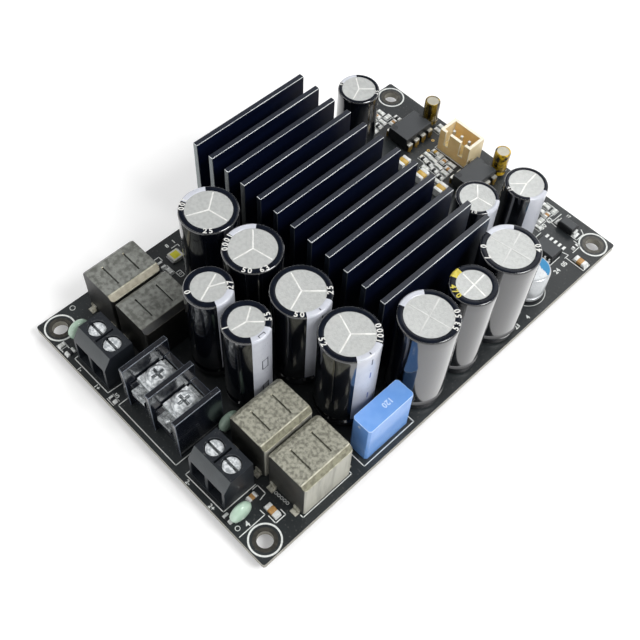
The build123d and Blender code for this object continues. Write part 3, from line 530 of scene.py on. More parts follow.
# Chip epoxy; the lighter band on faces that look up is painted light on the tops
EPOXY = BandedFinish(
    "chip_epoxy", "#151719", "#1e2123", patches=0.6, grain_size=6000, grain_depth=0.00004, roughness=0.45,
    band="#3b3e41",
)
TAN = Finish("tan_ceramic", "#a9804a", "#c09560", patches=0.6, patch_size=1500, roughness=0.45)
BLACK_CHIP = Finish("resistor_film", "#15161a", "#232529", patch_size=1800)
WHITE_CHIP = Finish("white_ceramic", "#cfd2cd", "#b3b6b1", patches=0.6, patch_size=1600, roughness=0.45)
GOLD_CHIP = Finish("gold_moulding", "#c9a548", "#b08c36", patches=0.6, coat=0.3)
WHITE_BODY = Finish("white_body", "#cfcfc6", "#bdbdb3", patch_size=1500, roughness=0.45)
PHOSPHOR = Finish("yellow_phosphor", "#d3cd08", "#dcd62e", patch_size=1500, coat=0.5)
POLYMER = Finish("silver_can", "#c3c6c8", "#b0b3b6", patch_size=500, roughness=0.3, metallic=0.45)
POLYMER_BLUE = Finish("blue_print", "#0a7cb0", "#1088bb", patch_size=700)


# Mesh building


@dataclass(frozen=True)
class Facet:
    """What a chooser of finishes knows about a face.

    Attributes:
        normal: The direction it faces.
        centre: Its middle, in millimetres.
        rounded: Whether it belongs to a rounded edge.
        low: The lowest corner of the solid that it is on.
        high: The highest corner of that solid.
    """

    normal: Vector
    centre: Vector
    rounded: bool
    low: Vector
    high: Vector


Chooser = Callable[[Facet], Finish]


class Shape:
    """A mesh that is built in millimetres from simple forms and becomes one piece."""

    def __init__(self) -> None:
        """Starts an empty mesh."""
        self.mesh = bmesh.new()
        self.finishes: list[Finish] = []

    def number(self, finish: Finish) -> int:
        """Gives the material number of a finish in this mesh.

        Args:
            finish: The finish.

        Returns:
            Its number, new where the mesh hasn't had it yet.
        """
        if finish not in self.finishes:
            self.finishes.append(finish)
        return self.finishes.index(finish)

    def take(self, part: Mesh, finish: Optional[Finish] = None) -> None:
        """Adds another mesh to this one and frees it.

        Args:
            part: The mesh to add.
            finish: The finish of all its faces, or None where they are set already.
        """
        if finish is not None:
            number = self.number(finish)
            for face in part.faces:
                face.material_index = number
        scrap = bpy.data.meshes.new("scrap")
        part.to_mesh(scrap)
        part.free()
        self.mesh.from_mesh(scrap)
        bpy.data.meshes.remove(scrap)

    def box(
        self, low: Sequence[float], high: Sequence[float], finish: Finish, bevel: float = 0.0,
        turn: Optional[Matrix] = None,
    ) -> None:
        """Adds a block between two corners.

        Args:
            low: The lowest corner.
            high: The highest corner.
            finish: The finish of the block.
            bevel: The width of its rounded edges.
            turn: A placement of the whole block, or None.
        """
        part = bmesh.new()
        size = Vector(high) - Vector(low)
        middle = (Vector(high) + Vector(low)) / 2
        bmesh.ops.create_cube(part, size=1, matrix=Matrix.Translation(middle) @ Matrix.Diagonal((*size, 1)))
        if bevel:
            soften(part, list(part.edges), bevel)
        if turn is not None:
            bmesh.ops.transform(part, matrix=turn, verts=part.verts)
        self.take(part, finish)

    def lathe(self, x: float, y: float, profile: Sequence[Place], finish: Finish, steps: int = 32) -> None:
        """Adds a solid of revolution about an upright axis.

        Args:
            x: The axis's place along X.
            y: The axis's place along Y.
            profile: The outline as (radius, height), from the axis or closed on itself.
            finish: The finish of the solid.
            steps: How many faces go round.
        """
        part = revolved(profile, steps)
        bmesh.ops.translate(part, verts=part.verts, vec=(x, y, 0))
        self.take(part, finish)

    def ring(self, place: Place, radii: Place, low: float, high: float, finish: Finish, steps: int) -> None:
        """Adds a flat ring.

        Args:
            place: Its middle.
            radii: Its inner and outer radius.
            low: Its underside.
            high: Its top.
            finish: The finish of the ring.
            steps: How many faces go round.
        """
        inner, outer = radii
        self.lathe(*place, [(inner, low), (outer, low), (outer, high), (inner, high)], finish, steps)

    def line(self, start: Place, end: Place, width: float, low: float, high: float, finish: Finish) -> None:
        """Adds a flat line between two places.

        Args:
            start: One end.
            end: The other end.
            width: The width of the line.
            low: Its underside.
            high: Its top.
            finish: The finish of the line.
        """
        run = Vector(end) - Vector(start)
        middle = (Vector(start) + Vector(end)) / 2
        turn = Matrix.Translation((middle.x, middle.y, 0)) @ Matrix.Rotation(math.atan2(run.y, run.x), 4, "Z")
        half = (run.length + width) / 2
        self.box((-half, -width / 2, low), (half, width / 2, high), finish, turn=turn)

    def number_mark(self, text: str, size: float, finish: Finish, place: Matrix, depth: float = 0.03) -> None:
        """Adds flat plain numbers or signs.

        Args:
            text: The numbers or signs.
            size: Their height.
            finish: Their finish.
            place: Where their middle lies, facing up, and how they are turned.
            depth: How thick they are.
        """
        curve = bpy.data.curves.new("mark", "FONT")
        curve.body = text
        curve.size = size * FIGURE_SCALE
        curve.extrude = depth / 2
        curve.offset = size * FIGURE_WEIGHT
        curve.align_x = curve.align_y = "CENTER"
        curve.resolution_u = 2
        holder = linked("mark", curve)
        bpy.context.view_layer.update()
        flat = bpy.data.meshes.new_from_object(holder.evaluated_get(bpy.context.evaluated_depsgraph_get()))
        part = bmesh.new()
        part.from_mesh(flat)
        bmesh.ops.remove_doubles(part, verts=part.verts, dist=JOIN_DISTANCE)
        bmesh.ops.transform(part, matrix=place, verts=part.verts)
        self.take(part, finish)
        bpy.data.objects.remove(holder)
        bpy.data.curves.remove(curve)
        bpy.data.meshes.remove(flat)

    def piece(
        self, name: str, slot: str, body: str = "board", replaces: Iterable[str] = (), crisp: bool = False,
    ) -> bpy.types.Object:
        """Finishes the mesh as a piece of the model.

        Args:
            name: The name of the piece.
            slot: The record's material slot; not used.
            body: The body that it rides on.
            replaces: The CAD nodes that it stands for.
            crisp: Whether its large faces keep their own shading beside rounded edges.

        Returns:
            The object.
        """
        bmesh.ops.scale(self.mesh, vec=(MM, MM, MM), verts=self.mesh.verts)
        data = bpy.data.meshes.new(name)
        self.mesh.to_mesh(data)
        self.mesh.free()
        for finish in self.finishes:
            data.materials.append(finish.material())
        data.polygons.foreach_set("use_smooth", [True] * len(data.polygons))
        data.set_sharp_from_angle(angle=math.radians(SHARP_ANGLE))
        made = linked(name, data)
        if crisp:
            weighted = made.modifiers.new("face_weight", "WEIGHTED_NORMAL")
            weighted.keep_sharp = True
            weighted.weight = FACE_WEIGHT
        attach(made, body)
        nodes = list(replaces)
        if nodes:
            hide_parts(*nodes)
        LOG.info("%s: %d faces", name, len(data.polygons))
        return made


def linked(name: str, data: bpy.types.ID) -> bpy.types.Object:
    """Makes an object and links it to the scene.

    Args:
        name: The name of the object.
        data: Its data.

    Returns:
        The object.
    """
    made = bpy.data.objects.new(name, data)
    bpy.context.scene.collection.objects.link(made)
    return made


def soften(
    part: Mesh, edges: list[bmesh.types.BMEdge], width: float, segments: int = 2,
) -> list[Face]:
    """Rounds edges of a mesh.

    Args:
        part: The mesh.
        edges: The edges to round.
        width: The width of the rounding.
        segments: How many faces it has.

    Returns:
        The faces of the rounded edges.
    """
    return bmesh.ops.bevel(
        part, geom=edges, offset=width, offset_type="OFFSET", segments=segments, profile=0.5, affect="EDGES",
        clamp_overlap=True, material=-1,
    )["faces"]


def put_in_order(part: Mesh) -> None:
    """Sorts the corners, edges and faces of a mesh by place, so that each run gives the same mesh.

    Args:
        part: The mesh.
    """
    for items in (part.verts, part.edges, part.faces):
        places = {item: sorted(corner.co[:] for corner in getattr(item, "verts", [item])) for item in items}
        ranks = {item: rank for rank, item in enumerate(sorted(items, key=places.get))}
        items.sort(key=ranks.get)


def revolved(profile: Sequence[Place], steps: int) -> Mesh:
    """Spins an outline about the Z axis.

    Args:
        profile: The outline as (radius, height). It is closed unless it starts and ends on the axis.
        steps: How many faces go round.

    Returns:
        The mesh.
    """
    part = bmesh.new()
    corners = [part.verts.new((radius, 0, height)) for radius, height in profile]
    edges = [part.edges.new(pair) for pair in zip(corners, corners[1:])]
    if profile[0][0] > 0 or profile[-1][0] > 0:
        edges.append(part.edges.new((corners[-1], corners[0])))
    bmesh.ops.spin(
        part, geom=corners + edges, cent=(0, 0, 0), axis=(0, 0, 1), angle=2 * math.pi, steps=steps, use_merge=True,
    )
    bmesh.ops.remove_doubles(part, verts=part.verts, dist=SEAM_DISTANCE)
    bmesh.ops.recalc_face_normals(part, faces=part.faces)
    put_in_order(part)
    return part


def groove(radius: float, start: float, height: float, depth: float) -> list[Place]:
    """Gives the outline of a rolled groove round a wall.

    Args:
        radius: The radius of the wall.
        start: Where the groove starts.
        height: Its height.
        depth: Its depth.

    Returns:
        The outline between its two edges, as (radius, height).
    """
    shares = [step / GROOVE_STEPS for step in range(1, GROOVE_STEPS)]
    return [(radius - depth * math.sin(math.pi * share), start + height * share) for share in shares]


def softened(
    node: str, name: str, slot: str, choose: Chooser, width: float, body: str = "board", angle: float = 40,
    segments: int = 2,
) -> bpy.types.Object:
    """Stands a copy with rounded edges in for a CAD node.

    Args:
        node: The name of the node.
        name: The name of the new piece.
        slot: The record's material slot.
        choose: Gives the finish of each face.
        width: The width of the rounding, in millimetres.
        body: The body that it rides on.
        angle: Edges sharper than this many degrees are rounded.
        segments: How many faces a rounding has.

    Returns:
        The object.
    """
    part = cad_copy(node)
    limit = math.radians(angle)
    sharp = [edge for edge in part.edges if len(edge.link_faces) == 2 and edge.calc_face_angle(0) > limit]
    rounded = set(soften(part, sharp, width, segments))
    shape = Shape()
    for faces, (low, high) in solids(part):
        for face in faces:
            facet = Facet(face.normal.copy(), face.calc_center_median(), face in rounded, low, high)
            face.material_index = shape.number(choose(facet))
    shape.take(part)
    return shape.piece(name, slot, body, [node], crisp=True)


def only(finish: Finish) -> Chooser:
    """Gives a chooser that always takes one finish."""
    return lambda facet: finish


def slotted(facet: Facet) -> Finish:
    """Chooses painted shade for the upright walls and the floor of a screw's slot, and nickel for the rest.

    Args:
        facet: The face.

    Returns:
        The finish.
    """
    middle = (facet.low + facet.high) / 2
    inside = (facet.centre - middle).to_2d().length < (facet.high.x - facet.low.x) * 0.42
    wall = abs(facet.normal.z) < 0.2 and facet.centre.z > facet.high.z - 1.2
    floor = facet.normal.z > 0.95 and facet.centre.z < facet.high.z - 0.3
    return SLOT_SHADE if inside and (wall or floor) and not facet.rounded else NICKEL


def dress(node: str, finish: Finish) -> None:
    """Gives a CAD node that stays its material.

    Args:
        node: The name of the node.
        finish: The finish of all its slots.
    """
    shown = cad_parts[node]
    if not shown.material_slots:
        shown.data.materials.append(finish.material())
    for slot in shown.material_slots:
        slot.material = finish.material()


def flat_at(x: float, y: float, z: float, turn: float = 0.0) -> Matrix:
    """Gives the placement of something flat on a level, turned by a number of degrees."""
    return Matrix.Translation((x, y, z)) @ Matrix.Rotation(math.radians(turn), 4, "Z")


# The board and what is printed and soldered on it


@dataclass(frozen=True)
class SmallPart:
    """A small two-ended part soldered flat on the board.

    Attributes:
        x: Its middle along X.
        y: Its middle along Y.
        along_y: Whether it lies along Y.
        finish: The finish of its body.
        length: Its length.
        width: Its width.
        height: Its height.
    """

    x: float
    y: float
    along_y: bool = False
    finish: Finish = BLACK_CHIP
    length: float = 1.75
    width: float = 1.0
    height: float = 0.5


# The parts of the clusters, as (finish, whether they lie along Y, size, places)
SMALL_PARTS = (
    (WHITE_CHIP, False, (), (
        (-31.6, 47.4), (-31.4, 44.0), (-31.0, 40.5), (-28.9, 45.2), (-28.4, 41.5), (-10.9, 45.2),
        (-13.1, 45.4), (-10.5, 41.6), (-8.6, 44.6), (-6.6, 47.4), (-6.0, 44.0), (-5.6, 40.5),
        (18.4, 54.7), (18.3, 52.6), (-17.2, 55.5), (-17.1, 53.8), (-29.2, -26.2),
    )),
    (TAN, False, (), ((-31.4, 45.7), (-6.2, 45.7))),
    (BLACK_CHIP, False, (), (
        (-31.2, 42.2), (-28.7, 43.4), (-27.2, 49.2), (-10.7, 43.4), (-13.0, 43.7), (-8.4, 42.8),
        (-5.9, 42.2), (-11.3, -56.3),
    )),
    (WHITE_CHIP, True, (), ((-29.2, 47.6), (-10.4, 47.4), (20.6, 50.0))),
    (TAN, True, (), ((-26.9, 47.3), (-8.7, 47.0), (20.4, 52.6))),
    (GOLD_CHIP, False, (), ((-12.3, 47.7),)),
    (WHITE_CHIP, True, (1.3, 0.8), ((20.9, 54.9),)),
    (WHITE_CHIP, False, (1.5, 0.8), ((21.3, 47.9),)),
    (WHITE_CHIP, True, (1.4, 0.9), ((-29.6, -56.2),)),
    (GOLD_CHIP, True, (3.2, 2.4, 1.9), ((-15.0, 38.3), (-8.9, 38.5), (-2.7, 38.7))),
)


@dataclass
class SmallParts:
    """Small two-ended parts: those of the solids and the clusters near the preamplifier chips.

    Attributes:
        end_share: The share of its length that a metal end covers.
        fillet: How far the solder reaches past an end.
        places: The parts of the clusters.
        vias: The places of bare gilt rings.
        via_radii: Their inner and outer radius.
        slope: How high the solder climbs an end, as a share of the part's height.
    """

    end_share: float = 0.29
    fillet: float = 0.28
    places: tuple[SmallPart, ...] = tuple(
        SmallPart(x, y, along_y, finish, *size) for finish, along_y, size, places in SMALL_PARTS
        for x, y in places
    )
    vias: tuple[Place, ...] = ((-13.85, 44.2), (-14.0, 46.9), (-15.6, 50.4))
    via_radii: Place = (0.18, 0.42)
    slope: float = 0.7

    def build(self) -> None:
        """Adds the parts that stand for the solids and the clusters."""
        for node, name, slot, finish in (
            ("chip_capacitors", "tan_capacitors", "tan_chip", TAN),
            ("chip_resistors", "film_resistors", "black_chip", BLACK_CHIP),
        ):
            shape = Shape()
            for low, high in islands(node):
                size = high - low
                middle = (low + high) / 2
                along_y = size.y > size.x
                self.part(shape, SmallPart(
                    middle.x, middle.y, along_y, finish, max(size.x, size.y), min(size.x, size.y), size.z,
                ))
            shape.piece(name, slot, "board", [node])
        shape = Shape()
        for part in self.places:
            self.part(shape, part)
        for place in self.vias:
            shape.ring(place, self.via_radii, TOP, TOP + 0.03, GILT, 16)
        shape.piece("clustered_chip_parts", "black_chip")

    def part(self, shape: Shape, part: SmallPart) -> None:
        """Adds one part with its metal ends and solder.

        Args:
            shape: The mesh to add to.
            part: The part.
        """
        half, side, top = part.length / 2, part.width / 2, TOP + part.height
        inner = half - part.length * self.end_share
        turn = flat_at(part.x, part.y, 0, 90 if part.along_y else 0)
        shape.box((-inner, -side + 0.02, TOP + 0.02), (inner, side - 0.02, top - 0.02), part.finish, 0.05, turn)
        for end in (-1, 1):
            low, high = sorted((end * half, end * inner))
            shape.box((low, -side, TOP), (high, side, top), PART_END, 0.06, turn)
            past = end * (half + self.fillet)
            low, high = sorted((end * half, past))
            wedge = bmesh.new()
            climb = part.height * self.slope
            size = Matrix.Diagonal((high - low, 2 * side, climb, 1))
            place = Matrix.Translation(((low + high) / 2, 0, TOP + climb / 2))
            bmesh.ops.create_cube(wedge, size=1, matrix=place @ size)
            for corner in wedge.verts:
                if corner.co.z > TOP + 0.01 and abs(corner.co.x - past) < 0.01:
                    corner.co.z = TOP + 0.05
            bmesh.ops.transform(wedge, matrix=turn, verts=wedge.verts)
            shape.take(wedge, PART_END)


@dataclass
class Board:
    """The board's finish, its pads and its printing.

    Attributes:
        line_width: The width of the printed lines.
        fine_width: The width of the finer lines round small parts.
        print_rise: How high the print stands above the board.
        hole_inset: The distance of the mounting holes from the edges.
        ring_radius: The middle radius of the printed rings round them.
        ring_width: The width of those rings.
        pad_radius: The radius of a mounting hole's pad.
        hole_radius: The radius of a mounting hole.
        strokes: Printed lines, each a run of places.
        rings: Small printed rings, as (x, y, radius).
        numbers: Printed numbers, as (text, x, y, height, turn).
    """

    line_width: float = 0.2
    fine_width: float = 0.13
    print_rise: float = 0.03
    hole_inset: float = 3.75
    ring_radius: float = 3.35
    ring_width: float = 0.38
    pad_radius: float = 2.6
    hole_radius: float = 1.75
    strokes: list[list[Place]] = field(default_factory=lambda: [
        [(-25.1, -46.9), (-25.1, -56.15), (-13.4, -56.1), (-13.2, -52.5), (-13.2, -46.9)],
        [(12.4, -46.9), (12.4, -56.15), (23.8, -55.9), (23.8, -47.3)],
        [(-9.5, -42.0), (-9.5, -56.3), (9.5, -56.3), (9.5, -42.0)],
        [(29.9, -57.0), (29.9, -50.25), (28.6, -50.3)],
        [(30.6, -49.9), (32.7, -49.9), (32.7, -47.2), (31.3, -47.2)],
        [(24.2, -48.4), (24.2, -47.1), (26.6, -47.1), (26.9, -48.8)],
        [(34.9, -45.15), (35.6, -45.15), (35.6, -31.35), (34.9, -31.35)],
        [(30.1, -28.3), (36.25, -28.3), (36.25, -13.2), (30.1, -13.2)],
        [(-34.2, -26.7), (-34.2, -25.4), (-32.9, -25.4)],
        [(-31.0, -25.5), (-29.3, -25.5), (-28.8, -27.0)],
        [(-34.2, -21.5), (-34.2, -19.7), (-33.5, -19.7)],
        [(-28.0, -25.3), (-28.0, -24.1), (-26.3, -24.1), (-26.3, -25.3), (-28.0, -25.3)],
        [(22.6, 55.6), (22.5, 51.7), (24.2, 51.5)],
        [(29.0, 55.3), (30.2, 54.6), (30.2, 51.9), (27.7, 51.9)],
        [(30.5, 41.2), (30.5, 44.7)],
        [(31.9, 45.7), (36.9, 45.7), (36.9, 48.2), (36.1, 48.2)],
        [(31.6, 45.4), (31.6, 46.8), (30.1, 46.4)],
        [(29.9, 51.2), (31.9, 51.2), (31.9, 48.2)],
        [(22.8, 47.2), (22.8, 44.9)],
        [(17.9, 55.9), (21.3, 55.9), (21.3, 53.4)],
        [(-29.9, -55.4), (-28.2, -55.4)], [(-29.9, -57.0), (-28.2, -57.0)],
        [(-13.5, 49.0), (-3.2, 49.0)], [(-13.6, 49.0), (-13.6, 55.3)],
    ])
    rings: tuple[Point, ...] = (
        (-36.2, -48.6, 0.6), (28.3, -56.1, 0.5), (28.0, -45.5, 0.3), (28.8, -45.45, 0.3), (29.6, -45.4, 0.3),
        (30.4, -45.35, 0.3), (31.2, -45.3, 0.3), (31.0, 31.2, 4.55), (-27.15, -24.7, 0.25), (-14.0, -31.0, 0.3),
        (-14.0, -29.6, 0.3),
    )
    numbers: tuple[tuple[str, float, float, float, float], ...] = (
        ("1-", -22.2, -56.95, 1.0, 0), ("1+", -16.1, -56.95, 1.0, 0), ("2-", 14.1, -56.95, 1.0, 0),
        ("2+", 21.4, -56.95, 1.0, 0), ("4", 29.0, -54.1, 1.3, 90), ("1", -35.4, -19.9, 1.1, 90),
        ("8", -35.4, -21.9, 1.1, 90), ("23", 36.1, 21.8, 1.1, 90), ("4", 36.2, 25.6, 1.1, 90),
        ("24", 32.7, 41.0, 1.2, 90), ("05", 32.6, 43.9, 1.2, 90), ("30", 22.0, 49.2, 1.3, 90),
        ("62", 21.9, 51.9, 1.3, 90), ("17", 24.2, 56.4, 0.8, 0), ("5", -11.5, -55.0, 1.2, 90),
        ("10", -19.6, 51.6, 0.9, 0), ("7", 5.9, 54.6, 1.0, 0), ("3", -27.0, -20.5, 1.0, 90),
    )

    def build(self) -> None:
        """Dresses the board and adds its pads and print."""
        dress("circuit_board", MASK)
        self.pads()
        self.printing()

    def holes(self) -> list[Place]:
        """Gives the middles of the four mounting holes."""
        x, y = BOARD_HIGH.x - self.hole_inset, BOARD_HIGH.y - self.hole_inset
        return [(sx * x, sy * y) for sx in (-1, 1) for sy in (-1, 1)]

    def pads(self) -> None:
        """Adds the plated rings of the mounting holes, above and below."""
        shape = Shape()
        rise = 0.02
        for place in self.holes():
            for level in (TOP, UNDER - rise):
                shape.ring(place, (self.hole_radius, self.pad_radius), level, level + rise, PAD, 48)
        shape.piece("mounting_hole_pads", "tinned")

    def printing(self) -> None:
        """Adds the printed rings, lines and numbers."""
        shape = Shape()
        top = TOP + self.print_rise
        rings = [(x, y, self.ring_radius, self.ring_width / 2) for x, y in self.holes()]
        rings += [(x, y, radius, self.fine_width / 2) for x, y, radius in self.rings]
        for x, y, radius, half in rings:
            shape.ring((x, y), (radius - half, radius + half), TOP, top, SILK, 48 if radius > 1 else 16)
        for stroke in self.strokes:
            for start, end in zip(stroke, stroke[1:]):
                shape.line(start, end, self.line_width, TOP, top, SILK)
        for part in SmallParts().places:
            self.outline(shape, part)
        for text, x, y, size, turn in self.numbers:
            shape.number_mark(text, size, SILK, flat_at(x, y, TOP + self.print_rise / 2, turn), self.print_rise)
        shape.piece("printed_lines", "board")

    def outline(self, shape: Shape, part: SmallPart) -> None:
        """Adds the two printed lines at the long sides of a small part.

        Args:
            shape: The mesh to add to.
            part: The small part.
        """
        along, across = part.length / 2 + 0.25, part.width / 2 + 0.28
        for side in (-1, 1):
            ends = [(-along, side * across), (along, side * across)]
            if part.along_y:
                ends = [(b, a) for a, b in ends]
            start, end = [(part.x + a, part.y + b) for a, b in ends]
            shape.line(start, end, self.fine_width, TOP, TOP + self.print_rise, SILK)


@dataclass
class Solder:
    """Solder cones under the board.

    Attributes:
        pad_share: How much wider a pad is than its lead.
        slope: The outline below the pad's face, as (gap from the lead, depth).
        depth: How deep the cone reaches.
        hidden: The share of a lead's radius at which the cone starts inside it.
    """

    pad_share: float = 0.55
    slope: tuple[Place, ...] = ((0.55, 0.06), (0.28, 0.4), (0.06, 1.0))
    depth: float = 1.25
    hidden: float = 0.9

    def build(self) -> None:
        """Adds the cones under every lead and pin."""
        shape = Shape()
        for node in ("component_leads", "header_pins", "preamp_chip_leads", "terminal_contacts", "barrier_tabs"):
            part = cad_copy(node)
            for faces, _ in solids(part):
                x, y, radius = self.tail(faces)
                foot, neck = radius + self.pad_share, radius * self.hidden
                slope = [(radius + gap, UNDER - depth) for gap, depth in self.slope]
                shape.lathe(x, y, [(neck, UNDER), (foot, UNDER), *slope, (neck, UNDER - self.depth)], SOLDER, 16)
            part.free()
        shape.piece("solder_joints", "tinned")

    def tail(self, faces: list[Face]) -> Point:
        """Finds where a lead passes the board and how thick it is.

        Args:
            faces: The faces of the lead.

        Returns:
            The place along X and Y and the radius.
        """
        points = [corner.co for face in faces for corner in face.verts if corner.co.z < 0.01]
        xs, ys = [p.x for p in points], [p.y for p in points]
        radius = max(max(xs) - min(xs), max(ys) - min(ys)) / 2
        return (max(xs) + min(xs)) / 2, (max(ys) + min(ys)) / 2, radius


# Cans


class Mark(Enum):
    """What is printed on the stripe of a can."""

    BARE = "bare"
    DASHES = "dashes"
    BOXES = "boxes"


# How far a sleeve reaches over the top, by the first word of the can's name
LIPS = {"large": 1.25, "slim": 1.35, "short": 0.85}


@dataclass
class Can:
    """One can with its sleeve.

    Attributes:
        node: The CAD node of the can.
        angle: The direction of the stripe's middle, in degrees.
        scores: The directions of the scores in its top, in degrees.
        numbers: The numbers printed on its rim, each with its direction.
        mark: What is printed on the stripe.
        stripe: The finish of the stripe.
        figures: The finish of the numbers.
        half: Half the stripe's width, in degrees.
        score: The finish of the scores.
        wall: The thickness of the sleeve.
        roll: The radius of the sleeve's upper edge.
        steps: How many faces go round.
        groove_low: Where the rolled groove starts above the can's foot.
        groove_height: The height of that groove.
        groove_depth: Its depth.
        score_width: The width of a score line.
        bung_gap: The thickness of the can's wall round its bung.
        bung_depth: How deep the bung goes in.
        dish: How much lower the middle of the top is than its edge.
        figure_height: The height of the numbers.
        short_figure: Their height on a short can.
        skin: How far print stands proud of the sleeve.
    """

    node: str
    angle: float
    scores: tuple[float, ...]
    numbers: tuple[tuple[str, float], ...] = ()
    mark: Mark = Mark.BARE
    stripe: Finish = STRIPE
    figures: Finish = RIM_PRINT
    half: float = 30.0
    score: Finish = SCORE
    wall: float = 0.15
    roll: float = 0.55
    steps: int = 96
    groove_low: float = 1.9
    groove_height: float = 1.5
    groove_depth: float = 0.4
    score_width: float = 0.34
    bung_gap: float = 0.66
    bung_depth: float = 1.25
    dish: float = 0.03
    figure_height: float = 1.3
    short_figure: float = 0.85
    skin: float = 0.02

    def __post_init__(self) -> None:
        """Reads the can's place and sizes and starts its mesh."""
        low, high = cad_box(self.node)
        self.kind = self.node.split("_")[0]
        self.x, self.y = middle_of(low, high)
        self.inner = (high.x - low.x) / 2
        self.outer = self.inner + self.wall
        self.rim = self.inner - LIPS[self.kind]
        self.foot, self.high = low.z, high.z
        self.top = self.high + self.wall
        self.groove_start = self.foot + self.groove_low
        self.turn = flat_at(self.x, self.y, 0, self.angle)
        self.shape = Shape()

    def build(self) -> None:
        """Adds the can with its sleeve, scores and print."""
        self.metal()
        self.sleeve()
        if self.mark is Mark.DASHES:
            self.dashes()
        elif self.mark is Mark.BOXES:
            self.boxes()
        self.rim_numbers()
        sleeves = "large_can_sleeves" if self.kind == "large" else "small_can_sleeves"
        self.shape.piece(f"{self.node}_sleeved", "sleeve", "board", [self.node, sleeves])

    def side(self, radius: float, low: float, high: float) -> list[Place]:
        """Gives the outline of a wall with its rolled groove.

        Args:
            radius: The radius of the wall.
            low: Where it starts.
            high: Where it ends.

        Returns:
            The outline as (radius, height), upwards.
        """
        start, height = self.groove_start, self.groove_height
        points = [(radius, low), (radius, start), *groove(radius, start, height, self.groove_depth)]
        rise = high - start - height
        return points + [(radius, start + height + rise * step / 10) for step in range(11)]

    def metal(self) -> None:
        """Adds the metal, open below where the bung goes in, and the scores in its top."""
        radius, high = self.inner - 0.02, self.high
        bung, ceiling, dish = radius - self.bung_gap, self.foot + self.bung_depth, high - self.dish
        outline = [(0, ceiling), (bung, ceiling), (bung, self.foot), *self.side(radius, self.foot, high)]
        outline += [(self.rim * 0.93, high), (self.rim * 0.85, dish), (0, dish)]
        self.shape.lathe(self.x, self.y, outline, CAN_TOP, self.steps)
        half = self.score_width / 2
        for angle in self.scores:
            low, end = (0, -half, high - 0.15), (self.rim - 0.25, half, high + 0.015)
            self.shape.box(low, end, self.score, 0.06, flat_at(self.x, self.y, 0, angle))

    def sleeve(self) -> None:
        """Adds the sleeve, with its rolled rim, its groove and its stripe."""
        rim, high, top, base = self.rim, self.high, self.top, self.foot + 0.2
        outline = self.side(self.outer, base, top - self.roll)
        for step in range(1, 7):
            turn = math.pi / 2 * step / 6
            across, up = self.roll * math.cos(turn), self.roll * math.sin(turn)
            outline.append((self.outer - self.roll + across, top - self.roll + up))
        outline += [(rim + 0.3, top - 0.01), (rim + 0.1, top - 0.04), (rim, high + 0.03), (rim + 0.02, high)]
        outline += reversed(self.side(self.inner, base, high - 0.02))
        part = revolved(outline, self.steps)
        plain, printed, lip = (self.shape.number(finish) for finish in (SLEEVE, self.stripe, LIP))
        for face in part.faces:
            middle = face.calc_center_median()
            away = (math.degrees(math.atan2(middle.y, middle.x)) - self.angle + 180) % 360 - 180
            outside = math.hypot(middle.x, middle.y) > self.inner + 0.02 or middle.z > high + 0.02
            striped = abs(away) < self.half and middle.z > self.groove_start + self.groove_height and outside
            flat = lip if middle.z > top - 0.1 else plain
            face.material_index = printed if striped else flat
        bmesh.ops.translate(part, verts=part.verts, vec=(self.x, self.y, 0))
        self.shape.take(part)

    def patch(self, low: Point, high: Point, finish: Finish = DARK_PRINT) -> None:
        """Adds a block of print between two corners, given as if the stripe lay along X."""
        self.shape.box(low, high, finish, 0, self.turn)

    def dashes(self) -> None:
        """Adds the minus signs of the stripe, one of them on the rim."""
        top, outer = self.top, self.outer
        self.patch((self.rim + 0.35, -0.12, top - 0.02), (outer - self.roll, 0.12, top + self.skin))
        for drop, finish in ((1.2, DARK_PRINT), (6.2, BLUE_MARK), (14.2, BLUE_MARK)):
            self.patch((outer - 0.05, -0.14, top - drop - 2.0), (outer + self.skin, 0.14, top - drop), finish)

    def boxes(self) -> None:
        """Adds the outlined rectangles of the stripe, one of them on the rim."""
        half, tall, line = 0.8, 3.1, 0.16
        top, outer, start = self.top, self.outer, self.rim + 0.4
        sides = [sorted((side * half, side * (half - line))) for side in (-1, 1)]
        self.patch((start, -half, top - 0.02), (self.rim + 0.54, half, top + self.skin))
        for low, high in sides:
            self.patch((start, low, top - 0.02), (outer - self.roll, high, top + self.skin))
        for level in (top - 8.2, top - 17.6):
            for low, high in sides:
                self.patch((outer - 0.1, low, level - tall), (outer, high, level))
            for end in (level - tall, level):
                self.patch((outer - 0.1, -half, end - line / 2), (outer + self.skin, half, end + line / 2))

    def rim_numbers(self) -> None:
        """Adds the numbers on the rim, figure by figure."""
        tall = self.short_figure if self.kind == "short" else self.figure_height
        radius = (self.rim + self.inner + 0.05) / 2
        step = math.degrees(tall * 0.92 / radius)
        for text, angle in self.numbers:
            start = angle - step * (len(text) - 1) / 2
            for index, figure in enumerate(text):
                turn = flat_at(self.x, self.y, self.top + 0.01, start + step * index)
                place = turn @ Matrix.Translation((radius, 0, 0)) @ flat_at(0, 0, 0, 90)
                self.shape.number_mark(figure, tall, self.figures, place, 0.02)


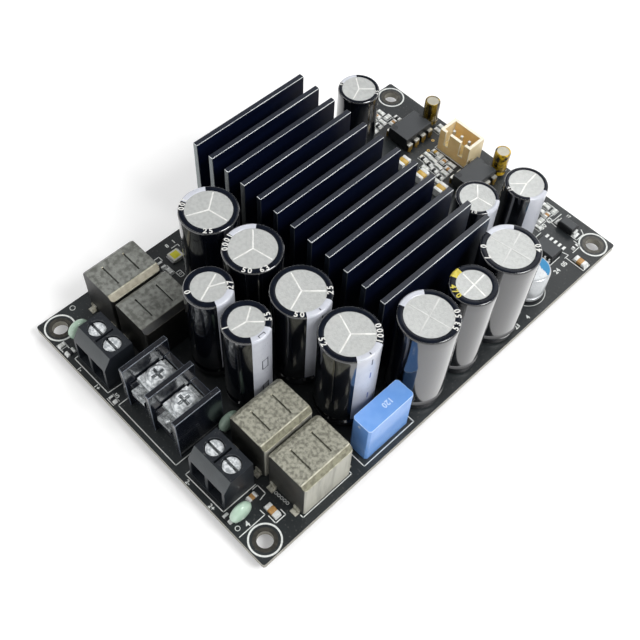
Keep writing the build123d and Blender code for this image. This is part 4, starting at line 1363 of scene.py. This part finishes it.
@dataclass
class Cans:
    """The tall and short cans.

    Attributes:
        cans: Each can, with its stripe, scores and numbers.
    """

    cans: tuple[Can, ...] = field(default_factory=lambda: (
        Can("large_can_1", 176, (128, 11, 247), (("100", 214), ("25", 318))),
        Can("large_can_2", 162, (138, 12, 263), (("1000", 212), ("50", 306), ("63", 342))),
        Can("large_can_3", 356, (162, 47, 291), (("25", 48), ("50", 312)), Mark.DASHES),
        Can("large_can_4", 356, (161, 47, 289), (("52", 246), ("1000", 48)), Mark.DASHES),
        Can("large_can_5", 174, (107, 11, 287, 191), (("53", 22), ("50", 52)), score=FAINT_SCORE),
        Can("large_can_6", 155, (106, 9, 286, 189), (("0", 222), ("7", 252), ("40", 48)), score=FAINT_SCORE),
        Can("slim_can_1", 8, (114, 294, 66), (("0", 246), ("27", 52))),
        Can("slim_can_2", 1, (125, 47, 262), (("1", 248), ("55", 62)), Mark.BOXES),
        Can("slim_can_3", 188, (94, 353, 274, 173), (("470", 250),), Mark.BARE, YELLOW_PRINT, YELLOW_PRINT, 16),
        Can("short_can_1", 8, (131, 8, 262), (("10", 300),)),
        Can("short_can_2", 349, (228, 95, 287), (("47", 250),)),
        Can("short_can_3", 171, (145, 48, 293), (("16", 205), ("25", 30))),
    ))

    def build(self) -> None:
        """Adds the cans and dresses their bungs."""
        for can in self.cans:
            can.build()
        dress("can_bungs", RUBBER)


@dataclass
class SmallCans:
    """The polymer can and the two small gold cans.

    Attributes:
        gold_steps: How many faces go round a gold can.
        sleeve_wall: The thickness of a gold can's sleeve.
        groove_low: Where the groove of the polymer can starts above its foot.
        groove_height: The height of that groove.
        groove_depth: Its depth.
        blue_direction: The direction of the blue print on the polymer can, in degrees.
        blue_reach: How far from the middle the blue starts.
    """

    gold_steps: int = 40
    sleeve_wall: float = 0.15
    groove_low: float = 0.9
    groove_height: float = 0.8
    groove_depth: float = 0.35
    blue_direction: float = 75.0
    blue_reach: float = 1.5

    def build(self) -> None:
        """Adds the small cans."""
        self.gold_cans()
        self.polymer()

    def gold_cans(self) -> None:
        """Adds the two gold cans, each with a rolled neck and a plain top."""
        finishes = (GOLD_SLEEVE, YELLOW_SLEEVE)
        for side, (low, high), finish in zip(("left", "right"), islands("bypass_can_sleeves"), finishes):
            x, y = middle_of(low, high)
            radius, foot, top = (high.x - low.x) / 2, low.z, high.z
            shape = Shape()
            inner = radius - self.sleeve_wall
            shape.lathe(x, y, [
                (0, foot - 0.1), (inner - 0.25, foot - 0.1), (inner, foot + 0.05), (inner, top - 0.3),
                (inner - 0.18, top - 0.1), (0, top - 0.1),
            ], SMALL_TOP, self.gold_steps)
            shape.lathe(x, y, [
                (inner, foot), (radius, foot), (radius, foot + 0.7), (radius - 0.16, foot + 0.95),
                (radius - 0.16, foot + 1.15), (radius, foot + 1.4), (radius, top - 0.35), (radius - 0.1, top - 0.12),
                (radius - 0.3, top - 0.02), (inner - 0.3, top - 0.02), (inner - 0.3, top - 0.12), (inner, top - 0.3),
            ], finish, self.gold_steps)
            shape.piece(f"{side}_gold_can", "gold_sleeve", "board", ["bypass_can_sleeves", "bypass_cans"])

    def polymer(self) -> None:
        """Adds the polymer can with its rolled groove and its blue print."""
        low, high = cad_box("polymer_can")
        x, y = middle_of(low, high)
        radius, foot, top = (high.x - low.x) / 2, low.z, high.z
        start, height = foot + self.groove_low, self.groove_height
        outline = [(0, foot), (radius - 0.1, foot), (radius, foot + 0.15), (radius, start)]
        outline += groove(radius, start, height, self.groove_depth)
        outline += [(radius, start + height), (radius, top - 0.45), (radius - 0.12, top - 0.17), (radius - 0.4, top)]
        outline += [(radius * share / 10, top) for share in range(8, -1, -1)]
        part = revolved(outline, 64)
        shape = Shape()
        plain, blue = shape.number(POLYMER), shape.number(POLYMER_BLUE)
        turn = math.radians(self.blue_direction)
        for face in part.faces:
            middle = face.calc_center_median()
            reach = middle.x * math.cos(turn) + middle.y * math.sin(turn)
            face.material_index = blue if reach > self.blue_reach and middle.z > top - 0.05 else plain
        bmesh.ops.translate(part, verts=part.verts, vec=(x, y, 0))
        shape.take(part)
        shape.number_mark("47", 1.3, POLYMER_BLUE, flat_at(x, y - 0.6, top + 0.01, 90), 0.02)
        shape.piece("polymer_can_printed", "can", "board", ["polymer_can"])
        dress("polymer_can_base", RUBBER)


# Blocks, terminals and connectors


@dataclass
class Chokes:
    """The four ferrite blocks.

    Attributes:
        edge: The width of their rounded edges.
        flat: How straight up a face looks to count as the top.
        looks: The finishes of each block, in the order of choose; the bevels, edge lines and sides are lit and shaded
            copies, painted light and painted shade.
    """

    edge: float = 0.16
    flat: float = 0.95
    looks: tuple[tuple[Finish, ...], ...] = (
        (OLD_FERRITE, OLD_LIT_STRIP, FERRITE_LIT_LINE, OLD_SHADE_SIDE, OLD_SHADE_SIDE),
        (OLD_FERRITE, SHADED_STRIP, SHADED_LINE, OLD_SHADE_SIDE, OLD_SHADE_SIDE),
        *[(FERRITE, FERRITE_STRIP, FERRITE_LIT_LINE, FERRITE_LIT_SIDE, FERRITE_SHADE_SIDE)] * 2,
    )

    def build(self) -> None:
        """Adds the blocks and dresses their feet."""
        for number, look in enumerate(self.looks, 1):
            choose = partial(self.choose, *look)
            softened(f"choke_{number}", f"choke_block_{number}", "ferrite", choose, self.edge, angle=30)
        dress("choke_feet", DULL_TIN)

    def choose(
        self, top: Finish, strip: Finish, line: Finish, right: Finish, other: Finish, facet: Facet,
    ) -> Finish:
        """Chooses the finish of a face by where it looks, with painted light and painted shade by which way it faces.

        Args:
            top: The finish of the top.
            strip: The finish of the long bevel on the right, with painted light on block 1 and painted shade on block
                2.
            line: The finish of that bevel's edges, a painted highlight, or painted shade on block 2.
            right: The finish of the right side, painted light on blocks 3 and 4 and painted shade on blocks 1 and 2.
            other: The finish of the other sides, painted shade.
            facet: The face.

        Returns:
            The finish.
        """
        normal = facet.normal
        if facet.rounded and normal.x > 0.15 and normal.z > 0.1 and abs(normal.y) < 0.2:
            return line
        if normal.z > self.flat:
            return top
        if normal.x > 0.3 and normal.z > 0.3:
            return strip
        if normal.x > 0.7:
            return right
        return top if normal.z > 0.3 else other


@dataclass
class Heatsink:
    """The finned extrusion, with painted highlight lines along the top edges of its fins.

    Attributes:
        edge: The width of its rounded edges.
    """

    edge: float = 0.26

    def build(self) -> None:
        """Adds the extrusion and dresses its screws."""
        softened("heatsink", "finned_heatsink", "heatsink", self.choose, self.edge, segments=1)
        dress("heatsink_screws", NICKEL)
        dress("thermal_pad", RUBBER)

    def choose(self, facet: Facet) -> Finish:
        """Chooses the finish of a face.

        Args:
            facet: The face.

        Returns:
            The finish.
        """
        if not facet.rounded:
            # Front ends: painted light, lighter towards the left fins
            return FIN_END if facet.normal.y < -0.7 else ANODISED
        # Rounded fin tops: painted highlight where they face the light, a dimmer painted edge line elsewhere
        if facet.centre.z > facet.high.z - 0.3:
            return FIN_HIGHLIGHT if facet.normal.x > 0.3 or facet.normal.y < -0.3 else FIN_LINE
        if abs(facet.normal.y) > 0.3:
            return FIN_LINE
        return ANODISED


@dataclass
class Terminals:
    """The two loudspeaker terminals with their screws and cages.

    Attributes:
        shell_edge: The width of a housing's rounded edges.
        screw_edge: That of a screw.
    """

    shell_edge: float = 0.12
    screw_edge: float = 0.1

    def build(self) -> None:
        """Adds the housings and screws and dresses the cages."""
        for side in ("left", "right"):
            names = f"{side}_terminal_housing", f"{side}_terminal_shell"
            softened(*names, "terminal", self.choose, self.shell_edge)
        for pole in ("left_outer", "left_inner", "right_inner", "right_outer"):
            names = f"{pole}_screw", f"{pole}_slotted_screw"
            softened(*names, "steel_screw", slotted, self.screw_edge, f"{pole}_screw_body")
            dress(f"{pole}_cage", PLATED)
        dress("terminal_contacts", PLATED)

    def choose(self, facet: Facet) -> Finish:
        """Chooses the finish of a face of a housing, with painted reflection on the front slopes and painted
        highlight on the upper rounded edges.

        Args:
            facet: The face.

        Returns:
            The finish.
        """
        if facet.rounded:
            # Upper rounded edges: painted highlight
            return MOULDED_HIGHLIGHT if facet.centre.z > facet.low.z + 5 else MOULDED
        # Front slopes: painted reflection
        return MOULDED_SLOPE_SHEEN if facet.normal.y < -0.3 and facet.normal.z > 0.3 else MOULDED


@dataclass
class BarrierStrip:
    """The two-way barrier strip with its tabs, washers and screws.

    Attributes:
        bare_front: Where the tabs come out from under the washers, along Y.
        tongue_front: Where their tongues start.
        tongue_foot: How low the bright part of a tongue reaches.
        tongue_width: The width of a tongue.
        shell_edge: The width of the housing's rounded edges.
        washer_edge: That of a washer.
        screw_edge: That of a screw.
    """

    bare_front: float = -51.9
    tongue_front: float = -53.3
    tongue_foot: float = 10.4
    tongue_width: float = 4.0
    shell_edge: float = 0.16
    washer_edge: float = 0.15
    screw_edge: float = 0.12

    def build(self) -> None:
        """Adds the strip's pieces."""
        softened("barrier_housing", "barrier_shell", "barrier", self.choose, self.shell_edge)
        self.tabs()
        for side in ("left", "right"):
            for kind, made, choose, edge in (
                ("washer", "square_washer", only(NICKEL), self.washer_edge),
                ("screw", "pan_head_screw", slotted, self.screw_edge),
            ):
                node = f"barrier_{kind}_{side}"
                softened(node, f"{made}_{side}", "steel_screw", choose, edge, f"{node}_body")

    def tabs(self) -> None:
        """Adds the tabs, bright under the washers and at the tongues and dark beside and below the tongues."""
        part = cad_copy("barrier_tabs")
        middles = [(low.x + high.x) / 2 for low, high in islands("barrier_tabs")]
        reach = self.tongue_width / 2
        cuts = [((0, self.bare_front, 0), (0, 1, 0)), ((0, self.tongue_front, 0), (0, 1, 0))]
        cuts.append(((0, 0, self.tongue_foot), (0, 0, 1)))
        cuts += [((middle + side * reach, 0, 0), (1, 0, 0)) for middle in middles for side in (-1, 1)]
        for place, normal in cuts:
            geometry = list(part.verts) + list(part.edges) + list(part.faces)
            bmesh.ops.bisect_plane(part, geom=geometry, plane_co=place, plane_no=normal)
        shape = Shape()
        bright, dark = shape.number(PLATED), shape.number(GLOSSY)
        for face in part.faces:
            middle = face.calc_center_median()
            central = min(abs(middle.x - tab) for tab in middles) < reach
            tongue = central and middle.z > self.tongue_foot
            face.material_index = bright if middle.y > self.bare_front or tongue else dark
        shape.take(part)
        shape.piece("barrier_tab_strips", "steel_screw", "board", ["barrier_tabs"])

    def choose(self, facet: Facet) -> Finish:
        """Chooses the finish of a face of the housing, with painted highlight on its upper rounded edges."""
        return GLOSSY_HIGHLIGHT if facet.rounded and facet.centre.z > facet.low.z + 6 else GLOSSY


@dataclass
class Connector:
    """The three-pin input connector.

    Attributes:
        edge: The width of the housing's rounded edges.
    """

    edge: float = 0.12

    def build(self) -> None:
        """Adds the connector's housing and dresses its pins."""
        softened("header_housing", "connector_shell", "header", self.choose, self.edge)
        dress("header_pins", TINNED)

    def choose(self, facet: Facet) -> Finish:
        """Chooses the finish of a face of the housing, with painted highlight on its rims and rounded edges and
        painted light on its front faces.

        Args:
            facet: The face.

        Returns:
            The finish.
        """
        # Rims and rounded edges: painted highlight
        if facet.rounded or facet.normal.z > 0.9 and facet.centre.z > facet.high.z - 0.5:
            return IVORY_HIGHLIGHT
        # Front faces: painted light
        if facet.normal.y < -0.5:
            return IVORY_LIT_FRONT
        return AMBER if facet.normal.z > 0.9 else IVORY


@dataclass
class Chips:
    """The moulded chips, the diode and the power light.

    Attributes:
        dimple: The outline of a dimple, as (radius, height above the top).
        dimple_inset: How far its middle is from the corner's sides.
        land_past: How far a land reaches past a lead of the diode and of the small chip.
        land_side: How far it shows at the sides.
        land_rise: Its height.
        lead_reach: Leads are shorter than this, and bodies longer.
        chip_edge: The width of the rounded edges of an eight-pin chip.
        driver_edge: That of the small chip.
        diode_edge: That of the diode.
        window: Half the side of the power light's window.
    """

    dimple: tuple[Place, ...] = (
        (0, 0), (0.5, 0), (0.56, 0.012), (0.64, 0.012), (0.7, 0), (0.7, -0.02), (0, -0.02),
    )
    dimple_inset: float = 1.1
    land_past: Place = (0.5, 0.8)
    land_side: float = 0.12
    land_rise: float = 0.12
    lead_reach: float = 3.0
    chip_edge: float = 0.1
    driver_edge: float = 0.05
    diode_edge: float = 0.08
    window: float = 1.0

    def build(self) -> None:
        """Adds and dresses the chips."""
        for side in ("left", "right"):
            softened(f"{side}_preamp_chip", f"{side}_preamp_body", "chip", only(EPOXY), self.chip_edge)
        self.dimples()
        softened("driver_chip", "driver_chip_leaded", "chip", self.leaded, self.driver_edge)
        softened("rectifier_diode", "diode_tabbed", "chip", self.leaded, self.diode_edge)
        self.lands()
        dress("preamp_chip_leads", DIP_PIN)
        dress("amplifier_chip", EPOXY)
        for node in ("amplifier_chip_leads", "component_leads"):
            dress(node, TINNED)
        self.light()

    def dimples(self) -> None:
        """Adds the shallow round marks at the first pins of the two preamplifier chips."""
        shape = Shape()
        for side in ("left", "right"):
            low, high = cad_box(f"{side}_preamp_chip")
            outline = [(radius, high.z + rise) for radius, rise in self.dimple]
            shape.lathe(low.x + self.dimple_inset, low.y + self.dimple_inset, outline, BLACK_CHIP, 24)
        shape.piece("first_pin_dimples", "chip")

    def lands(self) -> None:
        """Adds the soldered lands under the leads of the small chip and the diode."""
        shape = Shape()
        for node in ("driver_chip", "rectifier_diode"):
            whole_low, whole_high = cad_box(node)
            middle = (whole_low + whole_high) / 2
            for low, high in islands(node):
                size = high - low
                if max(size.x, size.y) > self.lead_reach:
                    continue
                away = ((low + high) / 2 - middle).to_2d()
                if size.x < size.y and node != "driver_chip":
                    out = (math.copysign(self.land_past[0], away.x), 0)
                else:
                    out = (0, math.copysign(self.land_past[1], away.y))
                side = self.land_side
                start = [min(low[i], low[i] + out[i]) - side for i in range(2)] + [TOP]
                end = [max(high[i], high[i] + out[i]) + side for i in range(2)] + [TOP + self.land_rise]
                shape.box(start, end, PART_END, 0.04)
        shape.piece("chip_lands", "tinned")

    def leaded(self, facet: Facet) -> Finish:
        """Chooses epoxy for a body and tin for a lead."""
        return EPOXY if facet.high.x - facet.low.x > self.lead_reach else PART_END

    def light(self) -> None:
        """Adds the power light's body, its metal ends and its yellow window."""
        low, high = cad_box("power_light")
        x, y = middle_of(low, high)
        shape = Shape()
        shape.box((low.x, low.y + 0.35, low.z), (high.x, high.y - 0.35, high.z), WHITE_BODY, 0.1)
        for start, end in ((low.y, low.y + 0.5), (high.y - 0.5, high.y)):
            shape.box((low.x + 0.1, start, low.z), (high.x - 0.1, end, high.z - 0.45), SOLDER, 0.06)
        half = self.window
        shape.box((x - half, y - half, high.z - 0.1), (x + half, y + half, high.z + 0.02), PHOSPHOR, 0.12)
        shape.piece("power_light_windowed", "light", "board", ["power_light"])


@dataclass
class Dipped:
    """The film capacitor and the three mint discs.

    Attributes:
        flatness: The exponent of a disc's outline, 2 for an ellipse.
        tail: The radius of the dipped neck of a lead.
        pitch: Half the distance between a disc's leads.
        rows: How many faces a disc has from pole to pole.
        steps: How many go round.
    """

    flatness: float = 2.4
    tail: float = 0.42
    pitch: float = 1.25
    rows: int = 24
    steps: int = 40

    def build(self) -> None:
        """Adds the film capacitor and the discs."""
        softened("film_capacitor", "film_box", "film", self.choose, 0.1, angle=25)
        low, high = cad_box("film_capacitor")
        x, y = middle_of(low, high)
        shape = Shape()
        shape.number_mark("120", 1.3, FILM_EDGE, flat_at(x, y + 1, high.z + 0.01, -90), 0.02)
        part = bmesh.new()
        turn = Matrix.Translation((x - 0.4, low.y + 0.04, high.z - 1.3)) @ Matrix.Rotation(math.pi / 2, 4, "X")
        bmesh.ops.create_cone(part, cap_ends=True, segments=20, radius1=0.34, radius2=0.34, depth=0.1, matrix=turn)
        shape.take(part, SILK)
        shape.piece("film_box_marks", "film")
        self.discs()

    def choose(self, facet: Facet) -> Finish:
        """Chooses the finish of a face of the film capacitor, with painted highlight on its top rounded edges."""
        return FILM_EDGE if facet.rounded and facet.normal.z > 0.2 else FILM

    def discs(self) -> None:
        """Adds the three dipped discs with their necks."""
        shape = Shape()
        for low, high in islands("disc_capacitors"):
            middle = (low + high) / 2
            half, radius = (high.x - low.x) / 2, (high.z - low.z) / 2
            power = 2 / self.flatness
            outline = []
            for step in range(self.rows + 1):
                turn = math.pi * step / self.rows
                across = math.copysign(abs(math.cos(turn)) ** power, math.cos(turn)) * half
                outline.append((radius * abs(math.sin(turn)) ** power if 0 < step < self.rows else 0.0, across))
            part = revolved(outline, self.steps)
            turn = Matrix.Translation(middle) @ Matrix.Rotation(math.pi / 2, 4, "Y")
            bmesh.ops.transform(part, matrix=turn, verts=part.verts)
            shape.take(part, MINT)
            for offset in (-self.pitch, self.pitch):
                shape.lathe(middle.x, middle.y + offset, [
                    (0, TOP + 0.15), (0.27, TOP + 0.15), (self.tail, low.z + 0.6), (0, low.z + 0.9),
                ], MINT, 16)
        shape.piece("mint_discs", "mint", "board", ["disc_capacitors"])


# Camera and light

CAMERA_PLACE = Vector((0.08340, -0.09592, 0.18406))
CAMERA_RIGHT = Vector((0.69869455, 0.71437798, 0.03860086))
CAMERA_DOWN = Vector((0.61518064, -0.57237997, -0.54215676))
CAMERA_FORWARD = Vector((-0.36521, 0.40255, -0.83939))


@dataclass(frozen=True)
class Lamp:
    """A square area lamp that looks at the board.

    Attributes:
        name: The name of the lamp.
        place: Where it is, in metres.
        size: The length of its side, in metres.
        power: Its power in watts.
        mirrored: Whether it shows in glossy surfaces.
    """

    name: str
    place: Point
    size: float
    power: float
    mirrored: bool = True

    def build(self) -> None:
        """Adds the lamp."""
        light = bpy.data.lights.new(self.name, "AREA")
        light.energy = self.power
        light.size = self.size
        made = linked(self.name, light)
        made.location = self.place
        made.rotation_euler = (-Vector(self.place)).to_track_quat("-Z", "Y").to_euler()
        made.visible_glossy = self.mirrored


@dataclass
class Studio:
    """The floor, the lamps, the world and the camera.

    Attributes:
        lens: The camera's focal length on a sensor 36 mm wide.
        shift_x: The camera's shift to the side.
        shift_y: Its shift upwards.
        ambient: The world's strength as light.
        zenith: Its strength straight up, as seen in reflections.
        overhead: Where the darkening towards the zenith starts and ends, as a share of straight up.
        floor_lift: How much the floor near the board is lifted to white for the camera.
        far_lift: How much it is lifted where the lamps no longer reach.
        reach: The distances from the board of those two, in metres.
        lamps: The lamps.
    """

    lens: float = 53.34
    shift_x: float = -0.0057
    shift_y: float = 0.0008
    ambient: float = 0.44
    zenith: float = 0.22
    overhead: Place = (0.15, 0.8)
    floor_lift: float = 0.21
    far_lift: float = 0.64
    reach: Place = (0.1, 0.7)
    lamps: tuple[Lamp, ...] = (
        Lamp("key", (0.32, 0.10, 0.42), 0.22, 2.05), Lamp("fill", (-0.30, -0.25, 0.45), 0.40, 0.45),
        Lamp("back", (-0.10, 0.42, 0.40), 0.30, 0.7), Lamp("front", (0.10, -0.45, 0.22), 0.40, 0.55, False),
    )

    def build(self) -> None:
        """Adds them all."""
        self.floor()
        self.world()
        for lamp in self.lamps:
            lamp.build()
        self.camera()

    def mirrored(self, path: bpy.types.Node, wiring: Wiring) -> Socket:
        """Gives 1 where a mirror or clear matter looks, and 0 elsewhere."""
        return wiring.math("MAXIMUM", path.outputs["Is Glossy Ray"], path.outputs["Is Transmission Ray"])

    def floor(self) -> None:
        """Adds the pale floor, white to the camera away from shadows."""
        part = bmesh.new()
        bmesh.ops.create_grid(part, x_segments=1, y_segments=1, size=1.5)
        data = bpy.data.meshes.new("floor")
        part.to_mesh(data)
        part.free()
        made = linked("floor", data)
        material = bpy.data.materials.new("pale_floor")
        material.use_nodes = True
        wiring = Wiring(material.node_tree)
        path = wiring.add("ShaderNodeLightPath")
        seen = wiring.math("MAXIMUM", path.outputs["Is Camera Ray"], self.mirrored(path, wiring))
        place = wiring.add("ShaderNodeTexCoord").outputs["Object"]
        away = wiring.add("ShaderNodeVectorMath", {0: place}, operation="LENGTH").outputs["Value"]
        near, far = self.reach
        raised = wiring.add("ShaderNodeMapRange", {0: away, 1: near, 2: far, 3: self.floor_lift, 4: self.far_lift})
        lift = wiring.math("MULTIPLY", seen, raised.outputs[0])
        wiring.fill(material.node_tree.nodes["Principled BSDF"], {
            "Base Color": (0.84, 0.84, 0.84, 1), "Roughness": 0.9, "Specular IOR Level": 0.1,
            "Emission Color": (1, 1, 1, 1), "Emission Strength": lift,
        })
        data.materials.append(material)

    def world(self) -> None:
        """Sets a soft white surround, a little darker overhead where it is mirrored."""
        world = bpy.data.worlds.new("surround")
        bpy.context.scene.world = world
        world.use_nodes = True
        wiring = Wiring(world.node_tree)
        path = wiring.add("ShaderNodeLightPath")
        direction = wiring.add("ShaderNodeTexCoord").outputs["Generated"]
        up = wiring.add("ShaderNodeSeparateXYZ", {0: direction}).outputs[2]
        start, end = self.overhead
        overhead = wiring.add("ShaderNodeMapRange", {0: up, 1: start, 2: end, 3: 1.0, 4: self.zenith}).outputs[0]
        mirrored = self.mirrored(path, wiring)
        level = wiring.add("ShaderNodeMapRange", {0: mirrored, 3: self.ambient, 4: overhead}).outputs[0]
        strength = wiring.add("ShaderNodeMapRange", {0: path.outputs["Is Camera Ray"], 3: level, 4: 1.0}).outputs[0]
        wiring.fill(world.node_tree.nodes["Background"], {"Color": (1, 1, 1, 1), "Strength": strength})

    def camera(self) -> None:
        """Sets the camera at the photograph's angle."""
        data = bpy.data.cameras.new("view")
        data.lens = self.lens
        data.sensor_width = 36
        data.shift_x = self.shift_x
        data.shift_y = self.shift_y
        data.clip_start = 0.01
        made = linked("view", data)
        turn = Matrix((CAMERA_RIGHT, -CAMERA_DOWN, -CAMERA_FORWARD)).transposed().to_4x4()
        made.matrix_world = Matrix.Translation(CAMERA_PLACE) @ turn
        bpy.context.scene.camera = made


def main() -> None:
    """Builds every part of the model in order."""
    logging.basicConfig(level=logging.INFO)
    bpy.context.scene.view_settings.view_transform = "Standard"
    for part in (
        Studio(), Board(), SmallParts(), Solder(), Cans(), SmallCans(), Chokes(), Heatsink(), Terminals(),
        BarrierStrip(), Connector(), Chips(), Dipped(),
    ):
        part.build()
        LOG.info("%s done", type(part).__name__)


if __name__ == "__main__":
    main()
